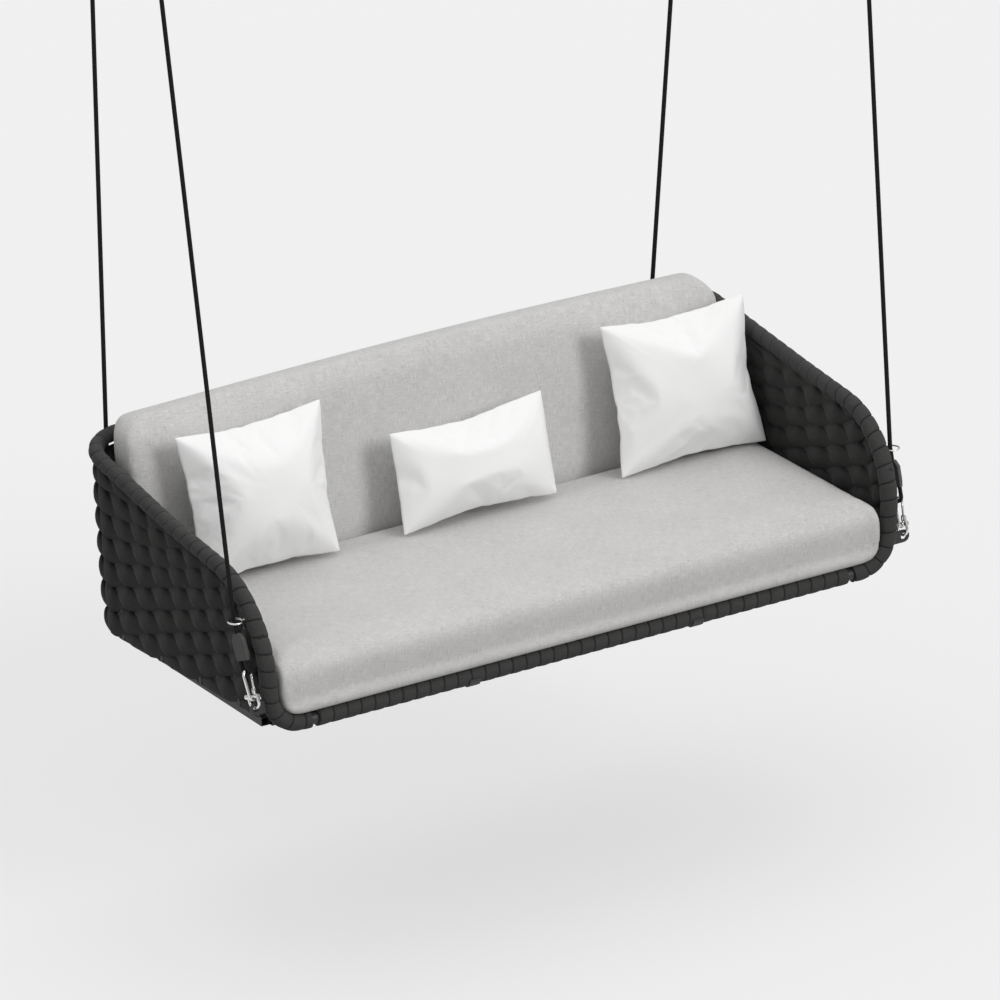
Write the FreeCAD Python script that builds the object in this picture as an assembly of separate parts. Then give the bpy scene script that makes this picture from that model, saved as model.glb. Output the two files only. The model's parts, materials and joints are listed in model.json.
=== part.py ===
import FreeCAD, Part
import math
import os

# Hanging garden sofa: a woven shell on bent tube, hung from the ceiling by four ropes.
# Millimetres.  X runs to the sitter's left hand, Y to the back, Z up.  Everything is modelled
# from the middle of the front rail's axis and moved at the end, so that the part's origin is
# the middle of the four ceiling points, in the plane of the ceiling.

os.makedirs("parts", exist_ok=True)
V = FreeCAD.Vector
UP = V(0, 0, 1)
RIGHT = V(1, 0, 0)
BACK = V(0, 1, 0)

# ---- driving dimensions ----
fit_gap = 0.3              # running clearance between pieces that only seat on each other
weave_gap = 5.0            # woven ends stop this far from the wrapped tubes

tube_r = 19.0              # bent frame tube, outside
tube_wall = 2.0
wrap_t = 2.6               # woven strip wound round the frame tube
tube_sides = 12            # flats round the frame tube and its covering
arc_step = 0.38            # turn of one flat along a tube's bend, radians
wire_step = 0.66           # the same along the bend of a wire or a rope
spigot_depth = 30.0        # how far a joining spigot enters a rail
spigot_grip = 15.0         # and how far it enters an arm tube

shell_half_w = 950.0       # side panels' middle planes at the front rail's axis
junction_gap = 20.0        # bare spigot between the front rail and each arm tube
front_straight = 14.0      # straight tube between an arm's bends and its ends
rear_straight = 17.0
foot_inset = 15.0          # corner where the foot of the arm turns up, inside the panel
foot_bend_r = 95.0
shoulder_out = 10.0        # corner where the arm turns back, outside the panel
shoulder_y = -8.0
shoulder_z = 366.0
shoulder_bend_r = 240.0
elbow_out = 5.0            # slight bend in the arm rest
elbow_y = 420.0
elbow_z = 418.0
elbow_bend_r = 2000.0
back_y = 918.0             # straight back rail
back_z = 495.0
corner_bend_r = 120.0      # rear corners of the rim

flare = 0.03               # how far the shell leans out for each unit of height
toe_in = 0.03              # how far the sides close in for each unit of depth
shell_bottom = -10.0
stake_w = 12.0             # flat upright stakes that carry the weave
stake_t = 8.0
side_stakes = 8
side_stake_first = 750.0   # rearmost stake of a side
side_stake_top_pitch = 92.0
side_stake_foot_pitch = 103.0
back_stakes = 16
back_stake_inset = 200.0   # outermost stake of the back, inside the panel
corner_stakes = (15.0, 45.0, 75.0)  # degrees round each rear corner

belt_rows = 7              # woven belts up the back
short_rows = 3             # belts that enter under them towards the front
belt_pitch = 66.0
belt_first_z = 23.0
belt_h = 60.0
belt_t = 13.7              # one strand of a belt, outside or inside the stakes
belt_chamfer = 5.0
belt_rise = 0.30           # climb of the belts along the sides, towards the front
shortest_run = 40.0
inner_belt_lift = 1.5      # inner strands stay this far above the base rails

bar_w = 24.0               # square base tube
bar_wall = 2.0
strap_t = 3.0              # seat webbing
strap_w = 50.0
straps_along = 6
webbing_inset = 100.0
cross_x = 340.0            # cross bars under the seat
clamp_t = 3.2              # strip that hugs the front rail at each cross bar
clamp_w = 32.0

bend_ease = 0.2            # straight left between the two bends of a U
rope_r = 5.5
rope_sides = 8
wire_sides = 6             # flats round the small bent wires
pin_sides = 8
ring_r = 19.0              # guide ring, wire centre line
ring_wire_r = 2.5
ring_play = 2.2            # the rope keeps this much off the inside of its front ring
front_ring_out = 48.0
front_ring_y = 57.0
front_ring_z = 293.0
rear_ring_inset = 114.0
rear_ring_y = 960.0
rear_ring_z = 472.0
front_eye_out = 105.0
front_eye_y = 228.0
rear_eye_inset = 44.0
rear_eye_y = 807.0
eye_z = 2091.0
front_lug_out = 36.0       # where the shackle's bow rests in its lug
front_lug_y = -7.0
front_lug_z = 73.0
rear_lug_y = 950.0
front_parting = 1.2        # rope and tail stop this far from the ring's pivot
rear_parting = 2.2
hook_yaw = -73.0           # degrees from +X to the shackle pins

loop_r = 12.0              # eye splice at each rope end, centre line
loop_leg = 24.0
sleeve_l = 73.0            # flat leather sleeve over each splice
sleeve_w = 42.0
sleeve_t = 12.0
sleeve_mouth_w = 37.0
sleeve_neck_w = 20.0
sleeve_taper = 17.0

shackle_r = 16.0           # bow, centre line
shackle_wire_r = 4.0
shackle_leg = 14.0
shackle_eye_r = 6.5
shackle_pin_r = 4.0
shackle_ball_r = 5.5
lug_t = 5.0
lug_hole_r = 9.0
bow_slack = 2.8            # the bow's bend keeps this much off the lug's metal
rear_hole_inset = 2.2      # the rear lug's hole lies inside the shackle's leg by this
lug_edge = 8.0             # metal left round a lug's hole

hook_wire_r = 4.0          # snap hook
hook_half_w = 14.0
hook_foot_half_w = 11.0
hook_foot_bend_r = 10.5
hook_head_bend_r = 13.0
hook_foot = -11.0          # lowest and highest points of its centre line
hook_head = 67.0
hook_nose = 50.0
loop_slack = 0.8           # how loosely a rope loop sits in its hook
gate_r = 3.2
gate_pin_r = 1.5
gate_pin_play = 0.08
gate_pin_at = 14.0
gate_tip_gap = 1.0
cheek_t = 2.0
cheek_w = 8.0

eye_half_w = 20.0          # ceiling eye, a bent round bar
eye_bend_r = 8.0
eye_bar_r = 4.0
eye_drop = 39.0            # from the plate's underside to the bar's axis
plate_l = 110.0
plate_w = 50.0
plate_t = 6.0
plate_screw_r = 4.0
plate_screw_half = 40.0

seat_inset = 38.0          # cushions' ends, inside the panels
seat_front_y = -22.0
seat_back_y = 655.0
seat_top_z = 182.0
seat_front_r = 55.0
seat_edge_r = 25.0
back_cushion_inset = 45.0
back_cushion_gap = 4.0
back_cushion_knee_z = 180.0
slope_top_y = 739.0        # the back cushion's leaning front ends here
slope_top_z = 560.0
ridge_y = 780.0
ridge_z = 603.0
rear_top_y = 850.0
rear_top_z = 595.0
back_cushion_plan_r = 95.0  # upright rear corners
back_cushion_corner_r = 80.0
pillow_lean = 19.0
pillow_foot_y = 515.0
pillow_front_t = 65.0
pillow_back_t = 95.0
pillow_face = 0.66         # flat face of a pillow as a share of its outline
pillows = (                # name, side it is placed from, middle from there, width, height
    ("pillow_left", -1, 338.0, 430.0, 402.0),
    ("pillow_middle", 0, 27.0, 470.0, 275.0),
    ("pillow_right", 1, -275.0, 430.0, 402.0),
)

# ---- worked out from them ----
wrap_inner_r = (tube_r + fit_gap) / math.cos(math.pi / tube_sides)
wrap_r = wrap_inner_r + wrap_t
foot_x = shell_half_w - foot_inset
arm_start_x = foot_x - foot_bend_r - front_straight
rail_half = arm_start_x - junction_gap
shoulder = V(shell_half_w + shoulder_out, shoulder_y, shoulder_z)
elbow = V(shell_half_w + elbow_out, elbow_y, elbow_z)
ceiling_z = eye_z + eye_drop + plate_t
origin = V(0, (front_eye_y + rear_eye_y) / 2, ceiling_z)


def panel_x(y, z):
    """Middle plane of the right side panel."""
    return shell_half_w + flare * z - toe_in * y


back_half = panel_x(back_y, back_z) - corner_bend_r - rear_straight
corner_y = back_y - corner_bend_r
corner_x = panel_x(corner_y, back_z) - corner_bend_r


def corner_r(z):
    """Radius of the shell's middle surface round a rear corner."""
    return corner_bend_r - flare * (back_z - z)


strand_in = stake_t / 2 + fit_gap          # from the middle surface to a strand's inner face
strand_out = strand_in + belt_t
support_z = wrap_r                         # the cushions rest level with the front rail
bar_top = support_z - strap_t
bar_z = bar_top - bar_w / 2
bar_inset = stake_t / 2 + fit_gap + flare * bar_w / 2 + bar_w / 2
bar_bottom = bar_top - bar_w
tongue_top = shell_bottom - 2 * fit_gap
front_eye = V(shell_half_w + front_eye_out, front_eye_y, eye_z)
rear_eye = V(shell_half_w - rear_eye_inset, rear_eye_y, eye_z)
front_ring = V(shell_half_w + front_ring_out, front_ring_y, front_ring_z)
rear_ring = V(shell_half_w - rear_ring_inset, rear_ring_y, rear_ring_z)
front_lug = V(shell_half_w + front_lug_out, front_lug_y, front_lug_z)
rear_lug = V(rear_ring.x, rear_lug_y, tongue_top - lug_t - shackle_wire_r - bow_slack)


# ---- helpers ----
def unit(vector):
    return V(vector).normalize()


def mirrored(shape):
    return shape.mirror(V(0, 0, 0), RIGHT)


def flip(point):
    return V(-point.x, point.y, point.z)


def both_sides(shape):
    return [shape, mirrored(shape)]


def fused(pieces):
    return pieces[0].fuse(pieces[1:]) if len(pieces) > 1 else pieces[0]


def save(name, solids):
    """Move the solids to the part's own origin and write one STEP file."""
    moved = []
    for shape in solids:
        for solid in shape.Solids:
            copy = solid.copy()
            copy.translate(-origin)
            moved.append(copy)
    whole = moved[0] if len(moved) == 1 else Part.makeCompound(moved)
    whole.exportStep("parts/%s.step" % name)


def polygon(points):
    return Part.makePolygon(list(points) + [points[0]])


def outline(centre, along, side, radius, sides):
    """Corners of a many-sided section with one flat facing the side vector."""
    across = along.cross(side)
    points = []
    for i in range(sides):
        angle = 2 * math.pi * (i + 0.5) / sides
        points.append(centre + side * (radius * math.cos(angle)) + across * (radius * math.sin(angle)))
    return points


def skin(rings, inward=False):
    """Flat facets between corresponding points of successive rings."""
    faces = []
    for first, second in zip(rings, rings[1:]):
        for i in range(len(first)):
            corners = [first[i - 1], first[i], second[i], second[i - 1]]
            faces.append(Part.Face(polygon(corners[::-1] if inward else corners)))
    return faces


def faceted(rings, bores=None):
    """A closed solid through rings of points, with an optional bore through it."""
    faces = skin(rings)
    if bores:
        faces += skin(bores, inward=True)
    for end in (0, -1):
        wires = [polygon(rings[end])]
        if bores:
            wires.append(polygon(bores[end]))
        faces.append(Part.Face(wires))
    solid = Part.Solid(Part.Shell(faces))
    solid.fix(1e-6, 1e-6, 1e-6)
    return solid if solid.Volume > 0 else solid.reversed()


def bent_path(points, radii):
    """Line and arc edges through the points, each inner one rounded by its radius."""
    edges = []
    start = points[0]
    for before, corner, after, radius in zip(points, points[1:], points[2:], radii):
        u1 = unit(corner - before)
        u2 = unit(after - corner)
        turn = u1.getAngle(u2)
        reach = radius * math.tan(turn / 2)
        arc_start = corner - u1 * reach
        arc_end = corner + u2 * reach
        middle = corner + unit(u2 - u1) * (radius / math.cos(turn / 2) - radius)
        edges.append(Part.LineSegment(start, arc_start).toShape())
        edges.append(Part.Arc(arc_start, middle, arc_end).toShape())
        start = arc_end
    edges.append(Part.LineSegment(start, points[-1]).toShape())
    return edges


def frames(edges, side, turn_step):
    """Point, direction and side vector at the ends of each edge and in steps round each arc."""
    found = []
    for edge in edges:
        first, last = edge.FirstParameter, edge.LastParameter
        arc = hasattr(edge.Curve, "Center")
        steps = max(1, round((last - first) / turn_step)) if arc else 1
        along = edge.tangentAt(first)
        side = unit(side - along * side.dot(along))
        for i in range(1 if found else 0, steps + 1):
            at = first + (last - first) * i / steps
            turned = FreeCAD.Rotation(edge.Curve.Axis, math.degrees(at - first)).multVec(side) if arc else side
            found.append((edge.valueAt(at), edge.tangentAt(at), turned))
        side = found[-1][2]
    return found


def closed_ring(rings):
    """A solid through rings of points that closes on itself."""
    solid = Part.Solid(Part.Shell(skin(rings + rings[:1])))
    return solid if solid.Volume > 0 else solid.reversed()


def swept(edges, side, outer, inner=None, turn_step=arc_step):
    """Carry a many-sided section along the edges.  outer and inner are (radius, sides)."""
    path = frames(edges, side, turn_step)
    rings = [outline(*frame, *outer) for frame in path]
    bores = [outline(*frame, *inner) for frame in path] if inner else None
    return faceted(rings, bores)


def rod(start, end, radius, sides, side=UP):
    """A straight many-sided bar between two points."""
    return swept([Part.LineSegment(start, end).toShape()], side, (radius, sides))


def box(x0, x1, y0, y1, z0, z1):
    return Part.makeBox(x1 - x0, y1 - y0, z1 - z0, V(x0, y0, z0))


# ---- bent tube frame ----
def arm_path():
    rear = V(panel_x(back_y, back_z), back_y, back_z)
    points = [V(arm_start_x, 0, 0), V(foot_x, 0, 0), shoulder, elbow, rear, V(back_half, back_y, back_z)]
    return bent_path(points, [foot_bend_r, shoulder_bend_r, elbow_bend_r, corner_bend_r])


arm_edges = arm_path()
rim_wire = Part.makePolygon([frame[0] for frame in frames(arm_edges, BACK, arc_step)])
arm_clearance = swept(arm_edges, BACK, (tube_r + fit_gap, tube_sides))
back_edge = [Part.LineSegment(V(-back_half + fit_gap, back_y, back_z), V(back_half - fit_gap, back_y, back_z)).toShape()]
front_edge = [Part.LineSegment(V(-rail_half, 0, 0), V(rail_half, 0, 0)).toShape()]


def rim_height(x, y):
    """Height of the rim tube's axis over a point of the shell."""
    plumb = Part.LineSegment(V(x, y, back_z / 2), V(x, y, 2 * back_z)).toShape()
    return rim_wire.distToShape(plumb)[1][0][0].z


def clear_of_rim(y, z):
    """True where the side panel's middle plane stands clear of the wrapped rim."""
    spot = Part.Vertex(V(panel_x(y, z), y, z))
    return rim_wire.distToShape(spot)[0] > wrap_r + weave_gap


def tube_of(edges):
    return swept(edges, BACK, (tube_r, tube_sides), (tube_r - tube_wall, tube_sides))


def wrap_of(edges, slots):
    """The wound covering of a tube, slotted where stakes and shanks pass to the metal."""
    sleeve = swept(edges, BACK, (wrap_r, tube_sides), (wrap_inner_r, tube_sides))
    return sleeve.cut(slots) if slots else sleeve


def spigots():
    """Inner sleeves that join the rails to the arm tubes."""
    radius = (tube_r - tube_wall) * math.cos(math.pi / tube_sides) - fit_gap
    reach = junction_gap + spigot_grip
    front = rod(V(rail_half - spigot_depth, 0, 0), V(rail_half + reach, 0, 0), radius, tube_sides, BACK)
    rear = rod(V(back_half - spigot_depth, back_y, back_z), V(back_half + spigot_grip, back_y, back_z), radius, tube_sides, BACK)
    return both_sides(front) + both_sides(rear)


# ---- upright stakes ----
def leaning_bar(foot, top, along, grow=0.0):
    """A flat bar between two points of the shell; along is its level width direction."""
    across = unit(along.cross(UP)) * (stake_t / 2 + grow)
    half = along * (stake_w / 2 + grow)
    corners = [foot + half + across, foot - half + across, foot - half - across, foot + half - across]
    return Part.Face(polygon(corners)).extrude(top - foot)


def stake_ends():
    """Foot, top and width direction of each stake on the right half and across the back."""
    ends = []
    for i in range(side_stakes):
        foot_y = side_stake_first - side_stake_foot_pitch * i
        top_y = side_stake_first - side_stake_top_pitch * i
        foot = V(panel_x(foot_y, shell_bottom), foot_y, shell_bottom)
        rim_z = rim_height(panel_x(top_y, elbow.z), top_y)
        ends.append(("side", foot, V(panel_x(top_y, rim_z), top_y, rim_z), unit(V(-toe_in, 1, 0))))
    for angle in corner_stakes:
        out = V(math.cos(math.radians(angle)), math.sin(math.radians(angle)), 0)
        foot = V(corner_x, corner_y, shell_bottom) + out * corner_r(shell_bottom)
        rim_z = rim_height(corner_x + corner_bend_r * out.x, corner_y + corner_bend_r * out.y)
        top = V(corner_x, corner_y, rim_z) + out * corner_r(rim_z)
        ends.append(("corner", foot, top, unit(V(-out.y, out.x, 0))))
    for i in range(back_stakes):
        x = (shell_half_w - back_stake_inset) * (2 * i / (back_stakes - 1) - 1)
        foot = V(x, corner_y + corner_r(shell_bottom), shell_bottom)
        ends.append(("back", foot, V(x, back_y, back_z), V(RIGHT)))
    return ends


def clears_tube(end, along):
    """True where a stake's end just clears the rim tube."""
    across = unit(along.cross(UP)) * (stake_t / 2)
    corners = [end + along * (side * stake_w / 2) + across * face for side in (-1, 0, 1) for face in (-1, 1)]
    return all(rim_wire.distToShape(Part.Vertex(c))[0] >= tube_r + fit_gap for c in corners)


def stakes():
    """The stakes, and the slots they need in the wound covering."""
    groups = {"side": [], "corner": [], "back": []}
    slots = {"side": [], "corner": [], "back": []}
    for kind, foot, top, along in stake_ends():
        lean = (top - foot) * (1 / (top.z - foot.z))
        end = top - lean * (tube_r + fit_gap)
        while kind != "back" and not clears_tube(end, along):
            end -= lean * fit_gap
        groups[kind].append(leaning_bar(foot, end, along))
        slots[kind].append(leaning_bar(end - lean * (2 * wrap_t + stake_w), end, along, fit_gap))
    return groups, slots


# ---- woven belts ----
def strand_section(z, place, sign):
    """Corners of a strand's section.  place(n, z) gives the point n outside the middle surface."""
    half = belt_h / 2
    shape = (
        (strand_in, -half), (strand_out - belt_chamfer, -half), (strand_out, -half + 2 * belt_chamfer),
        (strand_out, half - 2 * belt_chamfer), (strand_out - belt_chamfer, half), (strand_in, half),
    )
    return [place(sign * n, z + dz) for n, dz in shape]


def side_section(z, y, sign):
    return strand_section(z, lambda n, h: V(panel_x(y, h) + n, y, h), sign)


def corner_section(z, angle, spread, sign):
    """Section where two flat lengths meet, each of them spread degrees to its stake."""
    out = V(math.cos(math.radians(angle)), math.sin(math.radians(angle)), 0) * (1 / math.cos(math.radians(spread)))
    return strand_section(z, lambda n, h: V(corner_x, corner_y, h) + out * (corner_r(h) + n), sign)


def strand_across(z, y_front, sign):
    """A strand from the front end of the left side, round both corners, to that of the right side."""
    rings = []
    if corner_y - y_front >= shortest_run:
        rings.append(side_section(z + belt_rise * (corner_y - y_front), y_front, sign))
    rings.append(corner_section(z, 0, 0, sign))
    tangents = (0,) + corner_stakes + (90,)
    for one, other in zip(tangents, tangents[1:]):
        rings.append(corner_section(z, (one + other) / 2, (other - one) / 2, sign))
    left = [[V(-p.x, p.y, p.z) for p in ring] for ring in rings]
    return faceted(rings + left[::-1])


def strand_aside(z, y_rear, y_front, sign):
    """A strand along the right side only."""
    climb = belt_rise * (y_rear - y_front)
    return faceted([side_section(z + climb, y_front, sign), side_section(z, y_rear, sign)])


def front_end(z, step=4.0):
    """Where the belt at height z over the corner meets the wrapped rim, going forwards."""
    y = corner_y
    half = belt_h / 2
    while y - step > 0:
        centre = z + belt_rise * (corner_y - y + step)
        if not (clear_of_rim(y - step, centre + half) and clear_of_rim(y - step, centre - half)):
            break
        if not clear_of_rim(y - step, centre):
            break
        y -= step
    return y


def belt(row):
    """Both strands of one belt: solids that cross the back, then solids of the right side only."""
    z = belt_first_z + belt_pitch * row
    end = front_end(z)
    across = []
    aside = []
    for sign in (1, -1):
        low = shell_bottom if sign > 0 else bar_top + inner_belt_lift
        climb = max(0.0, low - (z - belt_h / 2))
        start = corner_y - climb / belt_rise
        if not climb:
            across.append(strand_across(z, end, sign))
        elif start - end >= shortest_run:
            aside.append(strand_aside(z + climb, start, end, sign))
    return across, aside


# ---- base under the cushions ----
def hollow_bar(start, end, side=UP):
    diagonal = math.sqrt(2)
    edges = [Part.LineSegment(start, end).toShape()]
    return swept(edges, side, (bar_w / 2 * diagonal, 4), ((bar_w / 2 - bar_wall) * diagonal, 4))


front_bar_y = wrap_r + clamp_t + 2 * fit_gap + bar_w / 2
rear_bar_y = corner_y + corner_r(bar_z) - bar_inset
rail_corner_r = corner_r(bar_z) - bar_inset


def side_base_rail():
    """Side rail and rear corner of the base, one bent square tube."""
    diagonal = math.sqrt(2)
    front = V(panel_x(front_bar_y, bar_z) - bar_inset, front_bar_y, bar_z)
    corner = V(panel_x(rear_bar_y, bar_z) - bar_inset, rear_bar_y, bar_z)
    edges = bent_path([front, corner, V(corner_x, rear_bar_y, bar_z)], [rail_corner_r - bend_ease])
    return swept(edges, UP, (bar_w / 2 * diagonal, 4), ((bar_w / 2 - bar_wall) * diagonal, 4))


def front_base_bar():
    half = panel_x(front_bar_y, bar_z) - bar_inset - bar_w / 2 - fit_gap - toe_in * bar_w
    return hollow_bar(V(-half, front_bar_y, bar_z), V(half, front_bar_y, bar_z))


def rear_base_bar():
    half = corner_x - fit_gap
    return hollow_bar(V(-half, rear_bar_y, bar_z), V(half, rear_bar_y, bar_z))


def cross_bars():
    start = front_bar_y + bar_w / 2 + fit_gap
    end = rear_bar_y - bar_w / 2 - fit_gap
    return both_sides(hollow_bar(V(cross_x, start, bar_z), V(cross_x, end, bar_z)))


def rail_clamp():
    """Strip under the front rail, from its front face round to the base bar."""
    axis = V(cross_x - clamp_w / 2, 0, 0)
    inner = wrap_r + fit_gap
    outer = (inner + clamp_t) / math.cos(math.pi / tube_sides)
    edges = [Part.LineSegment(axis, axis + RIGHT * clamp_w).toShape()]
    ring = swept(edges, BACK, (outer, tube_sides), (inner, tube_sides))
    return ring.cut(box(0, 2 * cross_x, -2 * outer, 2 * outer, 0, 2 * outer))


def webbing():
    """Flat straps over the base, woven lengthwise ones under the crosswise ones."""
    straps = []
    y0 = front_bar_y + bar_w / 2
    y1 = rear_bar_y - bar_w / 2
    for i in range(straps_along):
        x = (shell_half_w - webbing_inset) * (2 * (i + 0.5) / straps_along - 1)
        straps.append(box(x - strap_w / 2, x + strap_w / 2, y0 - bar_w, y1 + bar_w, bar_top, bar_top + strap_t))
    return straps


# ---- hanging hardware ----
hole_corner_r = lug_hole_r / math.cos(math.pi / tube_sides)
pin_axis = V(math.cos(math.radians(hook_yaw)), math.sin(math.radians(hook_yaw)), 0)


def flat_frame(origin_point, up, facing):
    """A function of (a, b, n) in a plane: b along up, n along facing, a across."""
    b = unit(up)
    n = unit(facing - b * facing.dot(b))
    a = b.cross(n)

    def place(x, y, depth=0.0):
        return origin_point + a * x + b * y + n * depth

    return place, a, b, n


def guide_ring(centre, tube_axis_point):
    """Level ring on a shank that is welded to the frame tube."""
    circle = Part.Circle(centre, UP, ring_r)
    halves = [Part.Arc(circle, start, start + math.pi).toShape() for start in (0, math.pi)]
    path = frames(halves, UP, wire_step)
    ring = closed_ring([outline(*frame, ring_wire_r, wire_sides) for frame in path[:-1]])
    toward = unit(tube_axis_point - centre)
    level_toward = unit(V(toward.x, toward.y, 0))
    start = centre + level_toward * ring_r
    shank = rod(start, tube_axis_point, ring_wire_r, wire_sides)
    bore = rod(start, tube_axis_point, ring_wire_r + 2 * fit_gap, wire_sides)
    return ring.fuse(shank.cut(arm_clearance)), bore


def splice(pivot, up, facing):
    """Rope loop with its closed end at the pivot, and the flat sleeve over the splice."""
    place, a, b, n = flat_frame(pivot, up, facing)
    top = loop_r + loop_leg
    points = [place(-loop_r, top), place(-loop_r, 0), place(loop_r, 0), place(loop_r, top)]
    loop = swept(bent_path(points, [loop_r - bend_ease] * 2), n, (rope_r, rope_sides), turn_step=wire_step)
    mouth = sleeve_mouth_w / 2
    neck = sleeve_neck_w / 2
    half = sleeve_w / 2
    end = top + sleeve_l
    shape = [
        (-mouth, top), (mouth, top), (half, top + sleeve_taper), (half, end - sleeve_taper),
        (neck, end), (-neck, end), (-half, end - sleeve_taper), (-half, top + sleeve_taper),
    ]
    face = Part.Face(polygon([place(x, y, -sleeve_t / 2) for x, y in shape]))
    return loop, face.extrude(n * sleeve_t), place(0, end)


def shackle(bow_point, up):
    """Bow with eyes, its screw pin, and the pin's middle."""
    place, a, b, n = flat_frame(bow_point, up, up.cross(pin_axis))
    top = shackle_r + shackle_leg
    points = [place(-shackle_r, top), place(-shackle_r, 0), place(shackle_r, 0), place(shackle_r, top)]
    bow = swept(bent_path(points, [shackle_r - bend_ease] * 2), n, (shackle_wire_r, wire_sides), turn_step=wire_step)
    eyes = []
    holes = []
    for side in (-1, 1):
        start = place(side * (shackle_r - shackle_wire_r), top)
        end = place(side * (shackle_r + shackle_wire_r), top)
        eyes.append(rod(start, end, shackle_eye_r, pin_sides, b))
        holes.append(rod(start, end, shackle_pin_r + fit_gap, pin_sides, b))
    body = fused([bow] + eyes).cut(holes)
    far = shackle_r + shackle_wire_r
    head = far + fit_gap
    pin = rod(place(-head, top), place(head + shackle_ball_r, top), shackle_pin_r, pin_sides, b)
    ball = rod(place(head, top), place(head + shackle_ball_r, top), shackle_ball_r, pin_sides, b)
    return body, pin.fuse(ball), place(0, top)


def snap_hook(pin_point, up):
    """Hook body, gate, gate pin, and where the rope loop rests."""
    place, a, b, n = flat_frame(pin_point, up, pin_axis)
    base = hook_foot + hook_wire_r + shackle_pin_r + fit_gap

    def spot(x, y, depth=0.0):
        return place(x, y - base, depth)

    points = [
        spot(hook_foot_half_w, gate_pin_at - gate_pin_r - hook_wire_r), spot(hook_foot_half_w, hook_foot),
        spot(-hook_foot_half_w, hook_foot), spot(-hook_half_w, hook_head),
        spot(hook_half_w, hook_head), spot(hook_half_w, hook_nose),
    ]
    radii = [hook_foot_bend_r, hook_foot_bend_r, hook_head_bend_r, hook_head_bend_r]
    wire = swept(bent_path(points, radii), n, (hook_wire_r, wire_sides), turn_step=wire_step)
    hinge = spot(hook_foot_half_w, gate_pin_at)
    tip = spot(hook_half_w, hook_nose - gate_tip_gap)
    along = unit(tip - hinge)
    cheeks = []
    for side in (-1, 1):
        inner = side * (gate_r + fit_gap)
        low = hook_foot_half_w - cheek_w / 2
        corners = [
            spot(low, 0, inner), spot(low + cheek_w, 0, inner),
            spot(low + cheek_w, gate_pin_at + cheek_w / 2, inner), spot(low, gate_pin_at + cheek_w / 2, inner),
        ]
        cheeks.append(Part.Face(polygon(corners)).extrude(n * (side * cheek_t)))
    reach = gate_r + fit_gap + cheek_t
    bore = Part.makeCylinder(gate_pin_r + gate_pin_play, 2 * reach, hinge - n * reach, n)
    body = fused([wire] + cheeks).cut(bore)
    gate = rod(hinge - along * gate_r, tip, gate_r, wire_sides, n).cut(bore)
    pin = Part.makeCylinder(gate_pin_r, 2 * reach, hinge - n * reach, n)
    rest = hook_head - hook_wire_r - loop_slack - rope_r
    return body, gate, pin, spot(0, rest)


def disc(centre, axis, radius, side):
    """A many-sided plate, lug_t thick, with its middle at the centre."""
    half = axis * (lug_t / 2)
    return rod(centre - half, centre + half, radius, tube_sides, side)


def front_lug_plate(side):
    """Ear on the outer face of the arm's foot."""
    hole = V(front_lug.x, front_lug.y, front_lug.z + shackle_wire_r + bow_slack - lug_hole_r)
    radius = lug_hole_r + lug_edge
    half_t = lug_t / 2
    ear = disc(hole, BACK, radius, UP)
    bar = box(foot_x, hole.x, hole.y - half_t, hole.y + half_t, hole.z - radius, hole.z + radius)
    slot = box(foot_x, hole.x, hole.y - half_t - fit_gap, hole.y + half_t + fit_gap,
               hole.z - radius - fit_gap, hole.z + radius + fit_gap)
    plate = ear.fuse(bar).cut([disc(hole, BACK, hole_corner_r, UP), arm_clearance])
    return (plate, slot) if side > 0 else (mirrored(plate), mirrored(slot))


def rear_lug_plate(point):
    """Flat tongue under the base rail, out behind the weave; the bow passes its hole and its end."""
    low = tongue_top - lug_t
    hole = point + pin_axis * (shackle_r - rear_hole_inset)
    hole.z = low + lug_t / 2
    radius = lug_hole_r + lug_edge
    x0, x1, y0 = hole.x - radius, hole.x + radius, rear_bar_y - bar_w / 2
    tongue = box(x0, x1, y0, hole.y, low, tongue_top)
    pad = box(x0, x1, y0, rear_bar_y, tongue_top, bar_bottom - fit_gap)
    return fused([tongue, pad, disc(hole, UP, radius, BACK)]).cut(disc(hole, UP, hole_corner_r, BACK))


def ceiling_eye(point):
    top = point.z + eye_drop
    points = [
        V(point.x - eye_half_w, point.y, top), V(point.x - eye_half_w, point.y, point.z),
        V(point.x + eye_half_w, point.y, point.z), V(point.x + eye_half_w, point.y, top),
    ]
    return swept(bent_path(points, [eye_bend_r] * 2), BACK, (eye_bar_r, wire_sides), turn_step=wire_step)


def ceiling_plate(point):
    z = point.z + eye_drop
    plate = box(point.x - plate_l / 2, point.x + plate_l / 2, point.y - plate_w / 2, point.y + plate_w / 2, z, z + plate_t)
    holes = []
    for side in (-1, 1):
        holes.append(Part.makeCylinder(plate_screw_r, plate_t, V(point.x + side * plate_screw_half, point.y, z), UP))
    return plate.cut(holes)


def hang_point(eye, ring_pivot, lug, parting):
    """Everything on one rope, from the ceiling eye to the shackle's bow."""
    made = {}
    up = unit(ring_pivot - lug)
    made["bow"], made["pin"], pin_point = shackle(lug, up)
    made["hook"], made["gate"], made["gate_pin"], rest = snap_hook(pin_point, up)
    tail_up = unit(ring_pivot - rest)
    made["loop"], made["sleeve"], neck = splice(rest, tail_up, up.cross(pin_axis))
    made["tail"] = rod(neck, ring_pivot - tail_up * front_parting, rope_r, rope_sides)
    rope_up = unit(eye - ring_pivot)
    top_rest = eye + rope_up * (eye_bar_r + fit_gap + rope_r)
    made["top_loop"], made["top_sleeve"], top_neck = splice(top_rest, -rope_up, RIGHT)
    made["rope"] = rod(ring_pivot + rope_up * parting, top_neck, rope_r, rope_sides)
    return made


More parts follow.
